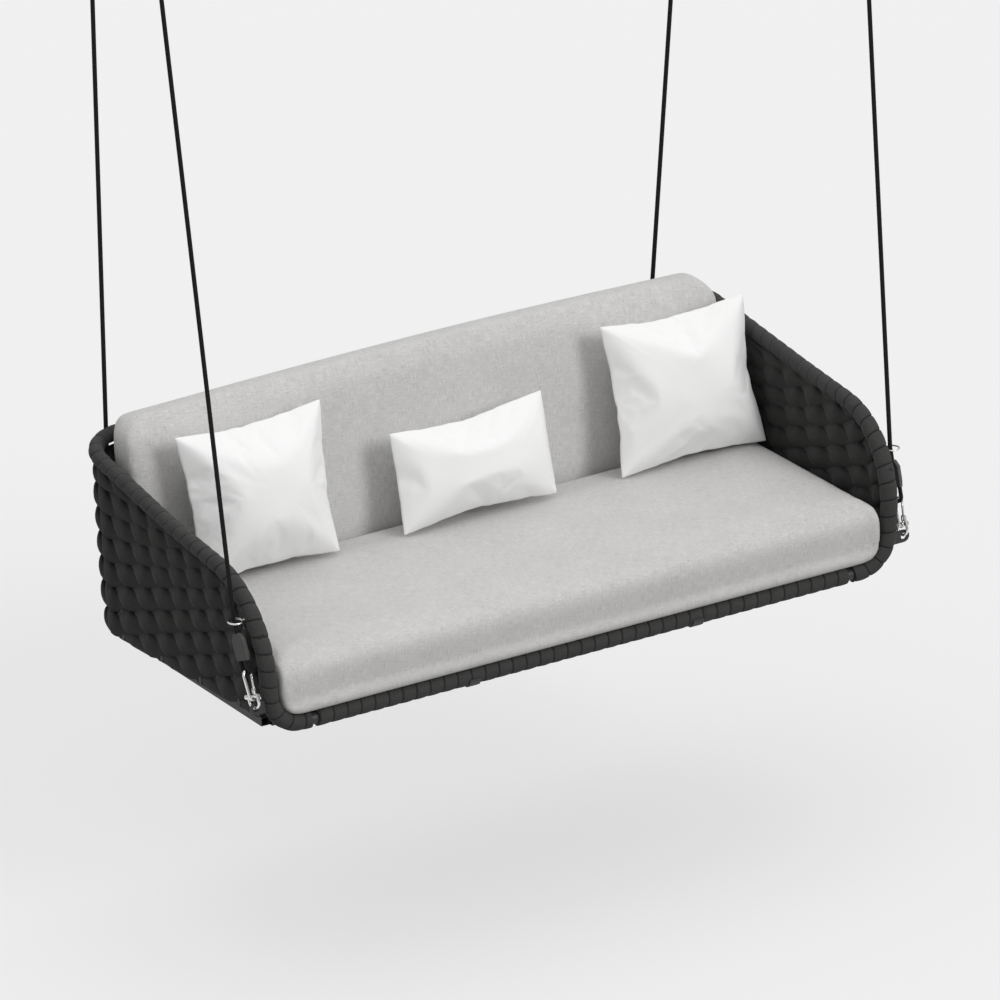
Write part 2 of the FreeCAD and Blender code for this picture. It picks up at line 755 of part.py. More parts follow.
# ---- soft parts ----
def rounded(points, radii):
    """Closed flat outline with rounded corners, as a face."""
    count = len(points)
    edges = []
    ends = []
    for i, radius in enumerate(radii):
        before, corner, after = points[i - 1], points[i], points[(i + 1) % count]
        u1 = unit(corner - before)
        u2 = unit(after - corner)
        if radius == 0:
            ends.append((corner, corner))
            continue
        turn = u1.getAngle(u2)
        reach = radius * math.tan(turn / 2)
        middle = corner + unit(u2 - u1) * (radius / math.cos(turn / 2) - radius)
        ends.append((corner - u1 * reach, corner + u2 * reach))
        edges.append(Part.Arc(corner - u1 * reach, middle, corner + u2 * reach).toShape())
    for i in range(count):
        edges.append(Part.LineSegment(ends[i][1], ends[(i + 1) % count][0]).toShape())
    return Part.Face(Part.Wire(Part.__sortEdges__(edges)))


def seat_cushion():
    bottom = support_z + fit_gap
    lower_r = foot_bend_r - wrap_r - fit_gap
    w = shell_half_w - seat_inset
    front = seat_front_y
    rear = seat_back_y
    top = seat_top_z
    front_view = rounded(
        [V(-w, front, bottom), V(w, front, bottom), V(w, front, top), V(-w, front, top)],
        [lower_r, lower_r, seat_edge_r, seat_edge_r])
    side_view = rounded(
        [V(-w, front, bottom), V(-w, rear, bottom), V(-w, rear, top), V(-w, front, top)],
        [0, 0, seat_edge_r, seat_front_r])
    return front_view.extrude(BACK * (rear - front)).common(side_view.extrude(RIGHT * (2 * w)))


def back_cushion():
    bottom = support_z + fit_gap
    front = seat_back_y + back_cushion_gap
    rear = corner_y + corner_r(bottom) - strand_out - fit_gap
    w = shell_half_w - back_cushion_inset
    side_points = [
        V(-w, front, bottom), V(-w, rear, bottom), V(-w, rear, slope_top_z), V(-w, rear_top_y, rear_top_z),
        V(-w, ridge_y, ridge_z), V(-w, slope_top_y, slope_top_z), V(-w, front, back_cushion_knee_z),
    ]
    body = Part.Face(polygon(side_points)).extrude(RIGHT * (2 * w))
    top = ridge_z
    r = back_cushion_corner_r
    front_view = rounded([V(-w, 0, bottom), V(w, 0, bottom), V(w, 0, top), V(-w, 0, top)], [0, 0, r, r])
    r = back_cushion_plan_r
    plan = rounded([V(-w, front, 0), V(w, front, 0), V(w, rear, 0), V(-w, rear, 0)], [0, 0, r, r])
    return body.common(front_view.extrude(BACK * back_y)).common(plan.extrude(UP * (2 * top)))


def pillow(middle, width, height):
    """Seam outline between a smaller front and back face, leaning on the back cushion."""
    lean = math.radians(pillow_lean)
    up = V(0, math.sin(lean), math.cos(lean))
    out = V(0, math.cos(lean), -math.sin(lean))
    centre = V(middle, pillow_foot_y, seat_top_z + fit_gap) + up * (height / 2)
    rings = []
    for depth, share in ((-pillow_front_t, pillow_face), (0.0, 1.0), (pillow_back_t, pillow_face)):
        half_x = RIGHT * (width / 2 * share)
        half_z = up * (height / 2 * share)
        spot = centre + out * depth
        rings.append([spot - half_x - half_z, spot + half_x - half_z, spot + half_x + half_z, spot - half_x + half_z])
    return faceted(rings)


# ---- build ----
def main():
    stake_groups, slots = stakes()
    right_hang = {}
    front_pivot = front_ring + BACK * (ring_r - ring_wire_r - rope_r - ring_play)
    right_hang["front"] = hang_point(front_eye, front_pivot, front_lug, front_parting)
    right_hang["rear"] = hang_point(rear_eye, rear_ring, rear_lug, rear_parting)
    left_hang = {}
    left_hang["front"] = hang_point(flip(front_eye), flip(front_pivot), flip(front_lug), front_parting)
    left_hang["rear"] = hang_point(flip(rear_eye), flip(rear_ring), flip(rear_lug), rear_parting)
    sides = (("left", left_hang), ("right", right_hang))

    front_tube_point = rim_wire.distToShape(Part.Vertex(front_ring))[1][0][0]
    rear_tube_point = rim_wire.distToShape(Part.Vertex(rear_ring))[1][0][0]
    ring_front, bore_front = guide_ring(front_ring, V(front_tube_point))
    ring_rear, bore_rear = guide_ring(rear_ring, V(rear_tube_point))
    save("guide_rings", both_sides(ring_front) + both_sides(ring_rear))

    lug_right, lug_slot = front_lug_plate(1)
    lug_left, lug_slot_left = front_lug_plate(-1)
    save("lugs", [lug_right, lug_left, rear_lug_plate(rear_lug), rear_lug_plate(flip(rear_lug))])

    arm_tube = tube_of(arm_edges)
    arm_wrap = wrap_of(arm_edges, slots["side"] + slots["corner"] + [bore_front, bore_rear, lug_slot])
    save("arm_tube_right", [arm_tube])
    save("arm_tube_left", [mirrored(arm_tube)])
    save("arm_wrap_right", [arm_wrap])
    save("arm_wrap_left", [mirrored(arm_wrap)])
    save("back_rail_tube", [tube_of(back_edge)])
    save("back_rail_wrap", [wrap_of(back_edge, slots["back"])])
    save("front_rail_tube", [tube_of(front_edge)])
    save("front_rail_wrap", [wrap_of(front_edge, [])])
    save("rail_spigots", spigots())

    side_stake_set = stake_groups["side"] + stake_groups["corner"]
    save("stakes_right", side_stake_set)
    save("stakes_left", [mirrored(s) for s in side_stake_set])
    save("stakes_back", stake_groups["back"])

    short_runs = []
    for row in range(-short_rows, belt_rows):
        across, aside = belt(row)
        if across:
            save("belt_row_%d" % (row + 1), across + aside + [mirrored(s) for s in aside])
        else:
            short_runs += aside
    save("belt_short_right", short_runs)
    save("belt_short_left", [mirrored(s) for s in short_runs])

    save("base_rail_right", [side_base_rail()])
    save("base_rail_left", [mirrored(side_base_rail())])
    save("base_end_bars", [front_base_bar(), rear_base_bar()])
    save("cross_bars", cross_bars())
    save("rail_clamps", both_sides(rail_clamp()))
    save("seat_webbing", webbing())

    hangs = [hang[end] for name, hang in sides for end in ("front", "rear")]
    save("shackle_bows", [h["bow"] for h in hangs])
    save("shackle_pins", [h["pin"] for h in hangs])
    save("snap_hooks", [h["hook"] for h in hangs])
    save("gate_pins", [h["gate_pin"] for h in hangs])
    save("rope_loops", [h["loop"] for h in hangs])
    save("rope_sleeves", [h["sleeve"] for h in hangs])
    for name, hang in sides:
        for end in ("front", "rear"):
            tag = "%s_%s" % (end, name)
            save("rope_" + tag, [hang[end]["rope"]])
            save("rope_tail_" + tag, [hang[end]["tail"]])
            save("snap_gate_" + tag, [hang[end]["gate"]])
    for end in ("front", "rear"):
        save("top_loops_" + end, [hang[end]["top_loop"] for name, hang in sides])
        save("top_sleeves_" + end, [hang[end]["top_sleeve"] for name, hang in sides])
    eyes = (front_eye, flip(front_eye), rear_eye, flip(rear_eye))
    save("ceiling_plates", [ceiling_plate(point) for point in eyes])
    save("ceiling_eyes", [ceiling_eye(point) for point in eyes])

    save("seat_cushion", [seat_cushion()])
    save("back_cushion", [back_cushion()])
    for name, side, shift, width, height in pillows:
        save(name, [pillow(side * shell_half_w + shift, width, height)])


main()
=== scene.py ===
import json
import math

import bmesh
import bpy
import numpy as np
from mathutils import Matrix, Vector


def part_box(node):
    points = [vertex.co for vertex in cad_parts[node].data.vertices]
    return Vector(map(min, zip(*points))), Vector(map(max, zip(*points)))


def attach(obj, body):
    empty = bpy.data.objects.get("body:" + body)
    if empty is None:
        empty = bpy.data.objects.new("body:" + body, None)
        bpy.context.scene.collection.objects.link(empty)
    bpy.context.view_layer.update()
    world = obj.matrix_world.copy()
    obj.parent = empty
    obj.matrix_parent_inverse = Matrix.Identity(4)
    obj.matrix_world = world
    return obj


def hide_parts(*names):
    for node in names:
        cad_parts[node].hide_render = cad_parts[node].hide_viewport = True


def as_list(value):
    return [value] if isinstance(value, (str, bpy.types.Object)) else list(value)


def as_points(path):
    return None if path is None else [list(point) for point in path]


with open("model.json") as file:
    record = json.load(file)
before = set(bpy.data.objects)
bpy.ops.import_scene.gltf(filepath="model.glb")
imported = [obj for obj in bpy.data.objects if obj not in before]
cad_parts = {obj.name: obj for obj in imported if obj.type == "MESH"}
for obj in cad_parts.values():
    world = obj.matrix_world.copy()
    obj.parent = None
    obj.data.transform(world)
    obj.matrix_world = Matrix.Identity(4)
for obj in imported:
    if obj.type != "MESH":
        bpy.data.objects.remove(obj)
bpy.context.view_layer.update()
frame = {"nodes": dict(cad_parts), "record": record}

# Hanging garden sofa.  Sizes are in millimetres from the middle of the front rail's axis:
# X to the right, Y to the back, Z up.  at() turns them into the frame's metres.
low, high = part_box("front_rail_tube")
RAIL_MIDDLE = (low + high) / 2
MM = 0.001
UP = Vector((0, 0, 1))
RIGHT = Vector((1, 0, 0))
BACK = Vector((0, 1, 0))


def at(point):
    return RAIL_MIDDLE + Vector(point) * MM


def left_of(point):
    return Vector((-point[0], point[1], point[2]))


MIRROR = {"left": left_of, "right": Vector}


def given(thing, **settings):
    for key, value in settings.items():
        setattr(thing, key, value)
    return thing


def placed(name, data):
    """A new object in the scene."""
    piece = bpy.data.objects.new(name, data)
    bpy.context.scene.collection.objects.link(piece)
    return piece


# ---- camera ----
AZIMUTH = math.radians(31.25)
ELEVATION = math.radians(22.0)
ROLL = math.radians(1.9)
FOCAL = 17.554             # in picture widths
DISTANCE = 45.242
AIM_RIGHT = -0.2122
AIM_UP = 0.3759


def make_camera():
    level = Vector((math.cos(AZIMUTH), -math.sin(AZIMUTH), 0))
    view = Vector((
        math.sin(AZIMUTH) * math.cos(ELEVATION), math.cos(AZIMUTH) * math.cos(ELEVATION), -math.sin(ELEVATION)))
    upright = level.cross(view)
    right = level * math.cos(ROLL) - upright * math.sin(ROLL)
    up = level * math.sin(ROLL) + upright * math.cos(ROLL)
    place = RAIL_MIDDLE + right * AIM_RIGHT + up * AIM_UP - view * DISTANCE
    data = bpy.data.cameras.new("camera")
    data.lens = FOCAL * data.sensor_width
    data.clip_end = 300.0
    camera = placed("camera", data)
    camera.matrix_world = Matrix.Translation(place) @ Matrix((right, up, -view)).transposed().to_4x4()
    bpy.context.scene.camera = camera


make_camera()


# ---- meshes built from rings of points ----
class Shape:
    """Collects faces between rings of points, and makes one object of them."""

    def __init__(self):
        self.points = []
        self.faces = []
        self.marks = []      # for each face, the (length, turn) of its corners

    def loft(self, rings, closed=False):
        """rings hold equally many points; lengths along the loft become the UV map's U."""
        first = len(self.points)
        count = len(rings[0])
        lengths = [0.0]
        middles = [sum(ring, Vector()) / count for ring in rings]
        for one, other in zip(middles, middles[1:] + middles[:1]):
            lengths.append(lengths[-1] + (other - one).length)
        for ring in rings:
            self.points += [tuple(p) for p in ring]
        for k in range(len(rings) if closed else len(rings) - 1):
            here = first + k * count
            there = first + (k + 1) % len(rings) * count
            for i in range(count):
                j = (i + 1) % count
                self.faces.append((here + i, here + j, there + j, there + i))
                self.marks.append((
                    (lengths[k], i / count), (lengths[k], (i + 1) / count),
                    (lengths[k + 1], (i + 1) / count), (lengths[k + 1], i / count)))
        if not closed:
            for k, order in ((0, -1), (len(rings) - 1, 1)):
                self.faces.append(tuple([first + k * count + i for i in range(count)][::order]))
                self.marks.append(tuple((lengths[k], i / count) for i in range(count)))

    def make(self, name, crease=40):
        mesh = mesh_of(name, self.points, faces=self.faces)
        layer = mesh.uv_layers.new(name="run")
        layer.data.foreach_set("uv", [v for marks in self.marks for mark in marks for v in mark])
        finish_mesh(mesh, crease)
        return placed(name, mesh)


def mesh_of(name, points, edges=(), faces=()):
    mesh = bpy.data.meshes.new(name)
    mesh.from_pydata(points, edges, faces)
    return mesh


def face_out(mesh, weld=None):
    """Turn the faces outwards, after points nearer than weld are joined."""
    work = bmesh.new()
    work.from_mesh(mesh)
    if weld:
        bmesh.ops.remove_doubles(work, verts=work.verts, dist=weld)
    bmesh.ops.recalc_face_normals(work, faces=work.faces)
    work.to_mesh(mesh)
    work.free()


def finish_mesh(mesh, crease):
    """Faces outwards, smooth shading with sharp edges past an angle."""
    face_out(mesh)
    mesh.shade_smooth()
    mesh.set_sharp_from_angle(angle=math.radians(crease))


def rounded_path(corners, radii, step=0.16):
    """Points along straight runs and the arcs that round them."""
    points = [Vector(corners[0])]
    for before, corner, after, radius in zip(corners, corners[1:], corners[2:], radii):
        u1 = (Vector(corner) - Vector(before)).normalized()
        u2 = (Vector(after) - Vector(corner)).normalized()
        turn = u1.angle(u2)
        start = Vector(corner) - u1 * (radius * math.tan(turn / 2))
        axis = u1.cross(u2).normalized()
        centre = start + axis.cross(u1) * radius
        count = max(2, math.ceil(turn / step))
        for i in range(count + 1):
            points.append(centre + Matrix.Rotation(turn * i / count, 3, axis) @ (start - centre))
    points.append(Vector(corners[-1]))
    return points


def bar_rings(points, radius, sides, closed=False, round_ends=0):
    """Rings of a round bar along points, turned as little as they can be from one to the next."""
    count = len(points)
    tangents = []
    for i in range(count):
        before = points[i - 1] if closed or i else points[0]
        after = points[(i + 1) % count] if closed or i < count - 1 else points[-1]
        tangents.append((after - before).normalized())
    side = tangents[0].orthogonal().normalized()
    rings = []
    for point, along in zip(points, tangents):
        side = (side - along * side.dot(along)).normalized()
        rings.append(round_ring(point, side, along.cross(side), radius, sides))
    if round_ends:
        rings = dome(points[0], -tangents[0], rings[0], round_ends)[::-1] + rings
        rings = rings + dome(points[-1], tangents[-1], rings[-1], round_ends)
    return rings


def dome(centre, along, ring, steps):
    """Rings that close a bar's end with half a ball."""
    rings = []
    radius = (ring[0] - centre).length
    for k in range(1, steps + 1):
        angle = math.pi / 2 * (k - 0.15 * (k == steps)) / steps
        rings.append([centre + along * (radius * math.sin(angle)) + (p - centre) * math.cos(angle) for p in ring])
    return rings


def round_ring(centre, side, across, radius, sides):
    angles = [2 * math.pi * k / sides for k in range(sides)]
    return [centre + (side * math.cos(angle) + across * math.sin(angle)) * radius for angle in angles]


def turned(start, along, profile):
    """Rings of a turned piece; profile lists (distance along, radius)."""
    side = along.orthogonal().normalized()
    across = along.cross(side)
    return [round_ring(start + along * distance, side, across, radius, 20) for distance, radius in profile]


def in_metres(rings):
    return [[at(p) for p in ring] for ring in rings]


def flat_frame(point, up, facing):
    """A function of (x, y, depth): y along up, depth along facing, x across them; and the x and depth axes."""
    b = up.normalized()
    n = (facing - b * facing.dot(b)).normalized()
    a = b.cross(n)

    def place(x, y, depth=0.0):
        return point + a * x + b * y + n * depth

    return place, a, n


# ---- node trees ----
def reckoning(operation):
    return lambda one, other=0.0: one.graph.math(operation, one, other)


class Value:
    """A node's output, which is reckoned with like a number."""

    __add__, __sub__ = reckoning("ADD"), reckoning("SUBTRACT")
    __mul__, __truediv__ = reckoning("MULTIPLY"), reckoning("DIVIDE")
    sine, cosine = reckoning("SINE"), reckoning("COSINE")

    def __init__(self, graph, socket):
        self.graph = graph
        self.socket = socket

    def __rsub__(self, other):
        return self.graph.math("SUBTRACT", other, self)

    def beside(self, out):
        """Another output of the same node."""
        return Value(self.graph, self.socket.node.outputs[out])


class Graph:
    """Adds nodes to a tree.  An input is given a constant or a Value."""

    def __init__(self, tree):
        self.tree = tree

    def join(self, value, socket):
        if isinstance(value, Value):
            self.tree.links.new(value.socket, socket)
        else:
            socket.default_value = value

    def add(self, kind, inputs=None, out=0, **settings):
        node = given(self.tree.nodes.new(kind), **settings)
        for key, value in (inputs or {}).items():
            self.join(value, node.inputs[key])
        return Value(self, node.outputs[out])

    def geo(self, kind, inputs=None, out=0, **settings):
        return self.add("GeometryNode" + kind, inputs, out, **settings)

    def math(self, operation, a, b=0.0):
        return self.add("ShaderNodeMath", {0: a, 1: b}, operation=operation)

    def vector(self, operation, a, b=(0, 0, 0), out=0):
        return self.add("ShaderNodeVectorMath", {0: a, 1: b}, out=out, operation=operation)

    def scaled(self, a, factor):
        return self.add("ShaderNodeVectorMath", {0: a, 3: factor}, operation="SCALE")

    def xyz(self, x, y, z=0.0):
        return self.add("ShaderNodeCombineXYZ", {0: x, 1: y, 2: z})

    def split(self, vector):
        x = self.add("ShaderNodeSeparateXYZ", {0: vector})
        return x, x.beside(1), x.beside(2)

    def noise(self, where, scale, detail=2.0, roughness=0.5):
        return self.add("ShaderNodeTexNoise", {
            "Vector": where, "Scale": scale, "Detail": detail, "Roughness": roughness})

    def spread(self, value, from_low, from_high, to_low, to_high):
        return self.add("ShaderNodeMapRange", {
            "Value": value, "From Min": from_low, "From Max": from_high, "To Min": to_low, "To Max": to_high})

    def attribute(self, name, kind="FLOAT"):
        return self.geo("InputNamedAttribute", {"Name": name}, data_type=kind)

    def store(self, geometry, name, value, kind="FLOAT"):
        return self.geo("StoreNamedAttribute", {
            "Geometry": geometry, "Name": name, "Value": value}, data_type=kind, domain="POINT")

    def swept(self, curve, sides, radius, name, factor=1.0):
        """A round bar along a curve, with its share of a turn times factor kept under a name."""
        share = self.geo("SplineParameter", out="Factor")
        profile = self.geo("CurvePrimitiveCircle", {"Resolution": sides, "Radius": radius})
        profile = self.store(profile, name, share if factor == 1.0 else share * factor)
        return self.geo("CurveToMesh", {"Curve": curve, "Profile Curve": profile, "Fill Caps": True})


def rule(name, *sizes):
    """A geometry tree, and a list of its inputs: its geometry, the named sizes and a material."""
    tree = bpy.data.node_groups.new(name, "GeometryNodeTree")
    tree.interface.new_socket("Geometry", in_out="OUTPUT", socket_type="NodeSocketGeometry")
    kinds = [("Geometry", "Geometry")] + [(size, "Float") for size in sizes] + [("Material", "Material")]
    for label, kind in kinds:
        tree.interface.new_socket(label, in_out="INPUT", socket_type="NodeSocket" + kind)
    graph = Graph(tree)
    sockets = tree.nodes.new("NodeGroupInput").outputs
    return graph, [Value(graph, sockets[label]) for label, kind in kinds]


def end_rule(graph, geometry, material):
    smooth = graph.geo("SetShadeSmooth", {0: geometry})
    real = graph.geo("RealizeInstances", {0: smooth})
    painted = graph.geo("SetMaterial", {"Geometry": real, "Material": material})
    graph.join(painted, graph.tree.nodes.new("NodeGroupOutput").inputs[0])
    return graph.tree


def grown(name, mesh, tree, **values):
    """An object whose mesh the tree makes from the given one."""
    piece = placed(name, mesh)
    modifier = piece.modifiers.new(tree.name, "NODES")
    modifier.node_group = tree
    for item in tree.interface.items_tree:
        if item.in_out == "INPUT" and item.name in values:
            modifier[item.identifier] = values[item.name]
    made_of(piece)
    return piece


def made_of(piece):
    """Replace an object's mesh by what its modifiers make of it."""
    depsgraph = bpy.context.evaluated_depsgraph_get()
    result = bpy.data.meshes.new_from_object(
        piece.evaluated_get(depsgraph), preserve_all_data_layers=True, depsgraph=depsgraph)
    piece.modifiers.clear()
    piece.data = result


def changed(piece, kind, **settings):
    """Put one modifier on a piece and keep what it makes."""
    given(piece.modifiers.new(kind.lower(), kind), **settings)
    made_of(piece)


# ---- materials ----
class Paint(Graph):
    """A material's nodes round its shader, whose inputs are named with _ for spaces."""

    def __init__(self, name, colour, roughness, **inputs):
        self.material = bpy.data.materials.new(name)
        self.material.use_nodes = True
        super().__init__(self.material.node_tree)
        self.colour = colour
        self.give(Base_Color=(*colour, 1), Roughness=roughness, **inputs)

    def give(self, **inputs):
        shader = self.tree.nodes["Principled BSDF"]
        for key, value in inputs.items():
            self.join(value, shader.inputs[key.replace("_", " ")])

    def place(self):
        return self.add("ShaderNodeTexCoord", out="Object")

    def tint(self, tone):
        self.give(Base_Color=self.scaled(self.colour, tone))

    def bump(self, height, distance, strength=1.0):
        self.give(Normal=self.add("ShaderNodeBump", {"Height": height, "Distance": distance, "Strength": strength}))


def flat_places(paint):
    """Coordinates in the plane that the surface most nearly lies in, in metres."""
    place = paint.place()
    x, y, z = paint.split(place)
    nx, ny, nz = paint.split(paint.vector("ABSOLUTE", paint.add("ShaderNodeNewGeometry", out="Normal")))
    mostly_z = paint.math("GREATER_THAN", nz, paint.math("MAXIMUM", nx, ny))
    mostly_x = paint.math("GREATER_THAN", nx, paint.math("MAXIMUM", ny, nz))
    u = paint.add("ShaderNodeMix", {0: mostly_x, 2: x, 3: y}, data_type="FLOAT")
    v = paint.add("ShaderNodeMix", {0: mostly_z, 2: z, 3: y}, data_type="FLOAT")
    return place, u, v


def crossings(u, v, fine):
    """Height of threads that pass over and under one another, fine of them to the metre."""
    return (u * (math.pi * fine)).sine() * (v * (math.pi * fine)).sine()


def cloth(name, colour, thread, variation, height, heather=0.0, roughness=0.95, sheen=0.15):
    """Plain woven cloth.  thread is one thread's width in metres, variation how uneven its colour is."""
    paint = Paint(name, colour, roughness, Sheen_Weight=sheen, Sheen_Roughness=0.5, Specular_IOR_Level=0.25)
    place, u, v = flat_places(paint)
    fine = 1.0 / thread
    slow = fine * 0.06         # a thread's colour changes this slowly along it
    long_ways = paint.noise(paint.xyz(u * slow, v * fine), 1.0)
    cross_ways = paint.noise(paint.xyz(u * fine, v * slow, 7.0), 1.0)
    threads = (long_ways - 0.5) + (cross_ways - 0.5)
    paint.tint(threads * variation + 1.0 + (paint.noise(place, 9.0, 4.0, 0.6) - 0.5) * heather)
    paint.bump(crossings(u, v, fine) * 0.3 + threads, height)
    return paint.material


def cloth_with_painted_seam_shade(name, colour, thread, height, painted_seam_shade):
    """The cloth of a wound strip, with painted shade darkening it down in the seams between its turns; the belts use it
    too, shaded where their rows meet.
    """
    paint = Paint(name, colour, 0.9, Sheen_Weight=0.06, Sheen_Roughness=0.5, Specular_IOR_Level=0.25)
    place, u, v = flat_places(paint)
    fine = 1.0 / thread
    grain = paint.noise(place, fine * 0.5, 3.0, 0.7)
    broad = paint.noise(place, 24.0, 3.0, 0.6)
    seam_and_shade = paint.add("ShaderNodeAttribute", out="Fac", attribute_name="seam_and_shade")
    tone = (grain - 0.5) * 0.7 + 1.0 + (broad - 0.5) * 0.5
    # painted shade: the cloth is darkened along the seams, down to the given tone
    paint.tint(tone * paint.spread(seam_and_shade, 0.0, 1.0, 1.0, painted_seam_shade))
    paint.bump(crossings(u, v, fine) * 0.5 + grain, height)
    return paint.material


def braid(name, colour, strand):
    """Braided rope: strands that cross on the UV map's length and turn, with painted shade between them and painted
    light on their crowns.
    """
    paint = Paint(name, colour, 0.75, Specular_IOR_Level=0.2)
    length, turn, _ = paint.split(paint.add("ShaderNodeUVMap", uv_map="run"))
    length, turn = length * (2 * math.pi / strand), turn * (2 * math.pi * 4)
    height = paint.math("MAXIMUM", (length + turn).sine(), (length - turn).sine())
    # painted shade down between the strands, painted light on their crowns
    paint.tint(paint.spread(height, -1.0, 1.0, 0.55, 1.15))
    paint.bump(height, 0.0006)
    return paint.material


def hide(name, colour):
    """Smooth leather with a fine grain."""
    paint = Paint(name, colour, 0.55, Specular_IOR_Level=0.4)
    broad = paint.noise(paint.place(), 60.0, 4.0)
    paint.tint((broad - 0.5) * 0.5 + 1.0)
    paint.give(Roughness=paint.spread(broad, 0.3, 0.7, 0.48, 0.62))
    cells = paint.add("ShaderNodeTexVoronoi", {"Vector": paint.place(), "Scale": 900.0}, out="Distance")
    paint.bump(cells, 0.0002, 0.6)
    return paint.material


def coated(name, colour):
    """Powder-coated metal with its fine orange peel."""
    paint = Paint(name, colour, 0.5, Specular_IOR_Level=0.45)
    paint.tint((paint.noise(paint.place(), 20.0, 3.0) - 0.5) * 0.25 + 1.0)
    paint.bump(paint.noise(paint.place(), 700.0), 0.0001, 0.5)
    return paint.material


def polished(name, colour, roughness):
    """Bright steel with faint wear in its shine."""
    paint = Paint(name, colour, roughness, Metallic=1.0)
    wear = paint.noise(paint.place(), 140.0, 4.0, 0.7)
    paint.give(Roughness=paint.spread(wear, 0.35, 0.7, roughness * 0.7, roughness * 1.7))
    return paint.material


LINEN = (0.575, 0.569, 0.56)
seat_linen = cloth("seat_linen", LINEN, 0.0016, 0.55, 0.0004, heather=0.16)
back_linen = cloth("back_linen", LINEN, 0.0016, 0.6, 0.0004, heather=0.16)
white_cotton = cloth("white_cotton", (0.90, 0.90, 0.895), 0.0009, 0.05, 0.0001, roughness=0.9, sheen=0.05)
# the last number of these two cloths is the tone that their painted seam shade goes down to
belt_textile = cloth_with_painted_seam_shade("belt_textile", (0.031, 0.031, 0.030), 0.0022, 0.0004, 0.2)
strip_textile = cloth_with_painted_seam_shade("strip_textile", (0.047, 0.047, 0.046), 0.0022, 0.0003, 0.15)
rope_braid = braid("rope_braid", (0.009, 0.009, 0.009), 0.014)
sleeve_hide = hide("sleeve_hide", (0.075, 0.075, 0.073))
thread_grey = cloth("sewing_thread", (0.09, 0.09, 0.09), 0.0006, 0.3, 0.0001)
strap_web = cloth("strap_web", (0.02, 0.02, 0.02), 0.002, 0.4, 0.0004)
frame_coat = coated("frame_coat", (0.03, 0.03, 0.03))
stake_coat = coated("stake_coat", (0.012, 0.012, 0.012))
ceiling_coat = coated("ceiling_coat", (0.025, 0.025, 0.025))
bright_steel = polished("bright_steel", (0.78, 0.78, 0.77), 0.16)


# ---- hardware and ropes, point for point where the construction has them ----
HOOK_YAW = math.radians(-73.0)
PIN_AXIS = Vector((math.cos(HOOK_YAW), math.sin(HOOK_YAW), 0))
ROPE_R = 5.5
ROPE_SEEN_R = 5.9          # over the crowns of its strands
RING_R, RING_WIRE_R = 19.0, 2.5
RINGS = {"front": Vector((998, 57, 293)), "rear": Vector((836, 960, 472))}
PIVOTS = {"front": Vector((998, 65.8, 293)), "rear": Vector((836, 960, 472))}
EYES = {"front": Vector((1055, 228, 2091)), "rear": Vector((906, 807, 2091))}
LUGS = {"front": Vector((986, -7, 73)), "rear": Vector((836, 950, -22.4))}
LOOP_R, LOOP_LEG = 12.0, 24.0
SLEEVE_L, SLEEVE_W, SLEEVE_T = 73.0, 42.0, 12.0
SLEEVE_MOUTH, SLEEVE_NECK, SLEEVE_TAPER = 37.0, 20.0, 17.0
SHACKLE_R, SHACKLE_WIRE_R, SHACKLE_LEG, SHACKLE_PIN_R = 16.0, 4.0, 14.0, 4.0
HOOK_WIRE_R, HOOK_HALF_W, FOOT_HALF_W = 4.0, 14.0, 11.0
HOOK_FOOT, HOOK_HEAD, HOOK_NOSE = -11.0, 67.0, 50.0
GATE_R, GATE_PIN_AT = 3.2, 14.0
CHEEK_T = 2.0
CLEARANCE = 0.3            # between parts that touch as they hang
EYE_HALF_W, EYE_BAR_R, EYE_DROP = 20.0, 4.0, 39.0


def single(name, rings, material, body, node, slot):
    """One object from lofted rings; rings is a list of ring lists."""
    shape = Shape()
    for one in rings:
        shape.loft(in_metres(one))
    return settled(shape.make(name), material, body, slot, node)


def settled(piece, material, body, slot, *nodes):
    """Give a finished piece its material and body, and hide the CAD nodes that it stands for; slot is not used."""
    piece.data.materials.clear()
    piece.data.materials.append(material)
    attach(piece, body)
    if nodes:
        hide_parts(*nodes)
    return piece


def straight_rope(name, bottom, top, body, node):
    """A taut rope along its own spline; returns the piece and the points it follows."""
    spline_data = bpy.data.curves.new(name + "_route", "CURVE")
    spline_data.dimensions = "3D"
    spline = spline_data.splines.new("NURBS")
    route = [bottom.lerp(top, share) for share in (0.0, 0.33, 0.67, 1.0)]
    spline.points.add(len(route) - 1)
    for knot, point in zip(spline.points, route):
        knot.co = (*at(point), 1)
    given(spline, order_u=3, use_endpoint_u=True, resolution_u=12)
    holder = placed(name + "_route", spline_data)
    line = bpy.data.meshes.new_from_object(holder.evaluated_get(bpy.context.evaluated_depsgraph_get()))
    points = [v.co.copy() for v in line.vertices]
    bpy.data.objects.remove(holder)
    shape = Shape()
    shape.loft(bar_rings(points, ROPE_SEEN_R * MM, 14, round_ends=4))
    return settled(shape.make(name), rope_braid, body, "rope", node), points


def u_bend(place, half_width, top, radius, wire_r, sides=14):
    """Rings of a bar bent into a U: from the top down one side, across and up the other."""
    points = [place(-half_width, top), place(-half_width, 0), place(half_width, 0), place(half_width, top)]
    return bar_rings(rounded_path(points, [radius] * 2), wire_r, sides)


def stitch_rule():
    """Stitches along lines, evenly spaced."""
    graph, (lines, spacing, length, thickness, material) = rule("stitches", "Spacing", "Length", "Thickness")
    curve = graph.geo("MeshToCurve", {0: lines})
    steps = graph.geo("CurveToPoints", {"Curve": curve, "Length": spacing}, mode="LENGTH")
    thread = graph.geo("MeshUVSphere", {"Segments": 6, "Rings": 6, "Radius": 1.0})
    size = graph.xyz(thickness, thickness, length)
    stitches = graph.geo("InstanceOnPoints", {
        "Points": steps, "Instance": thread, "Rotation": steps.beside("Rotation"), "Scale": size})
    return end_rule(graph, stitches, material)


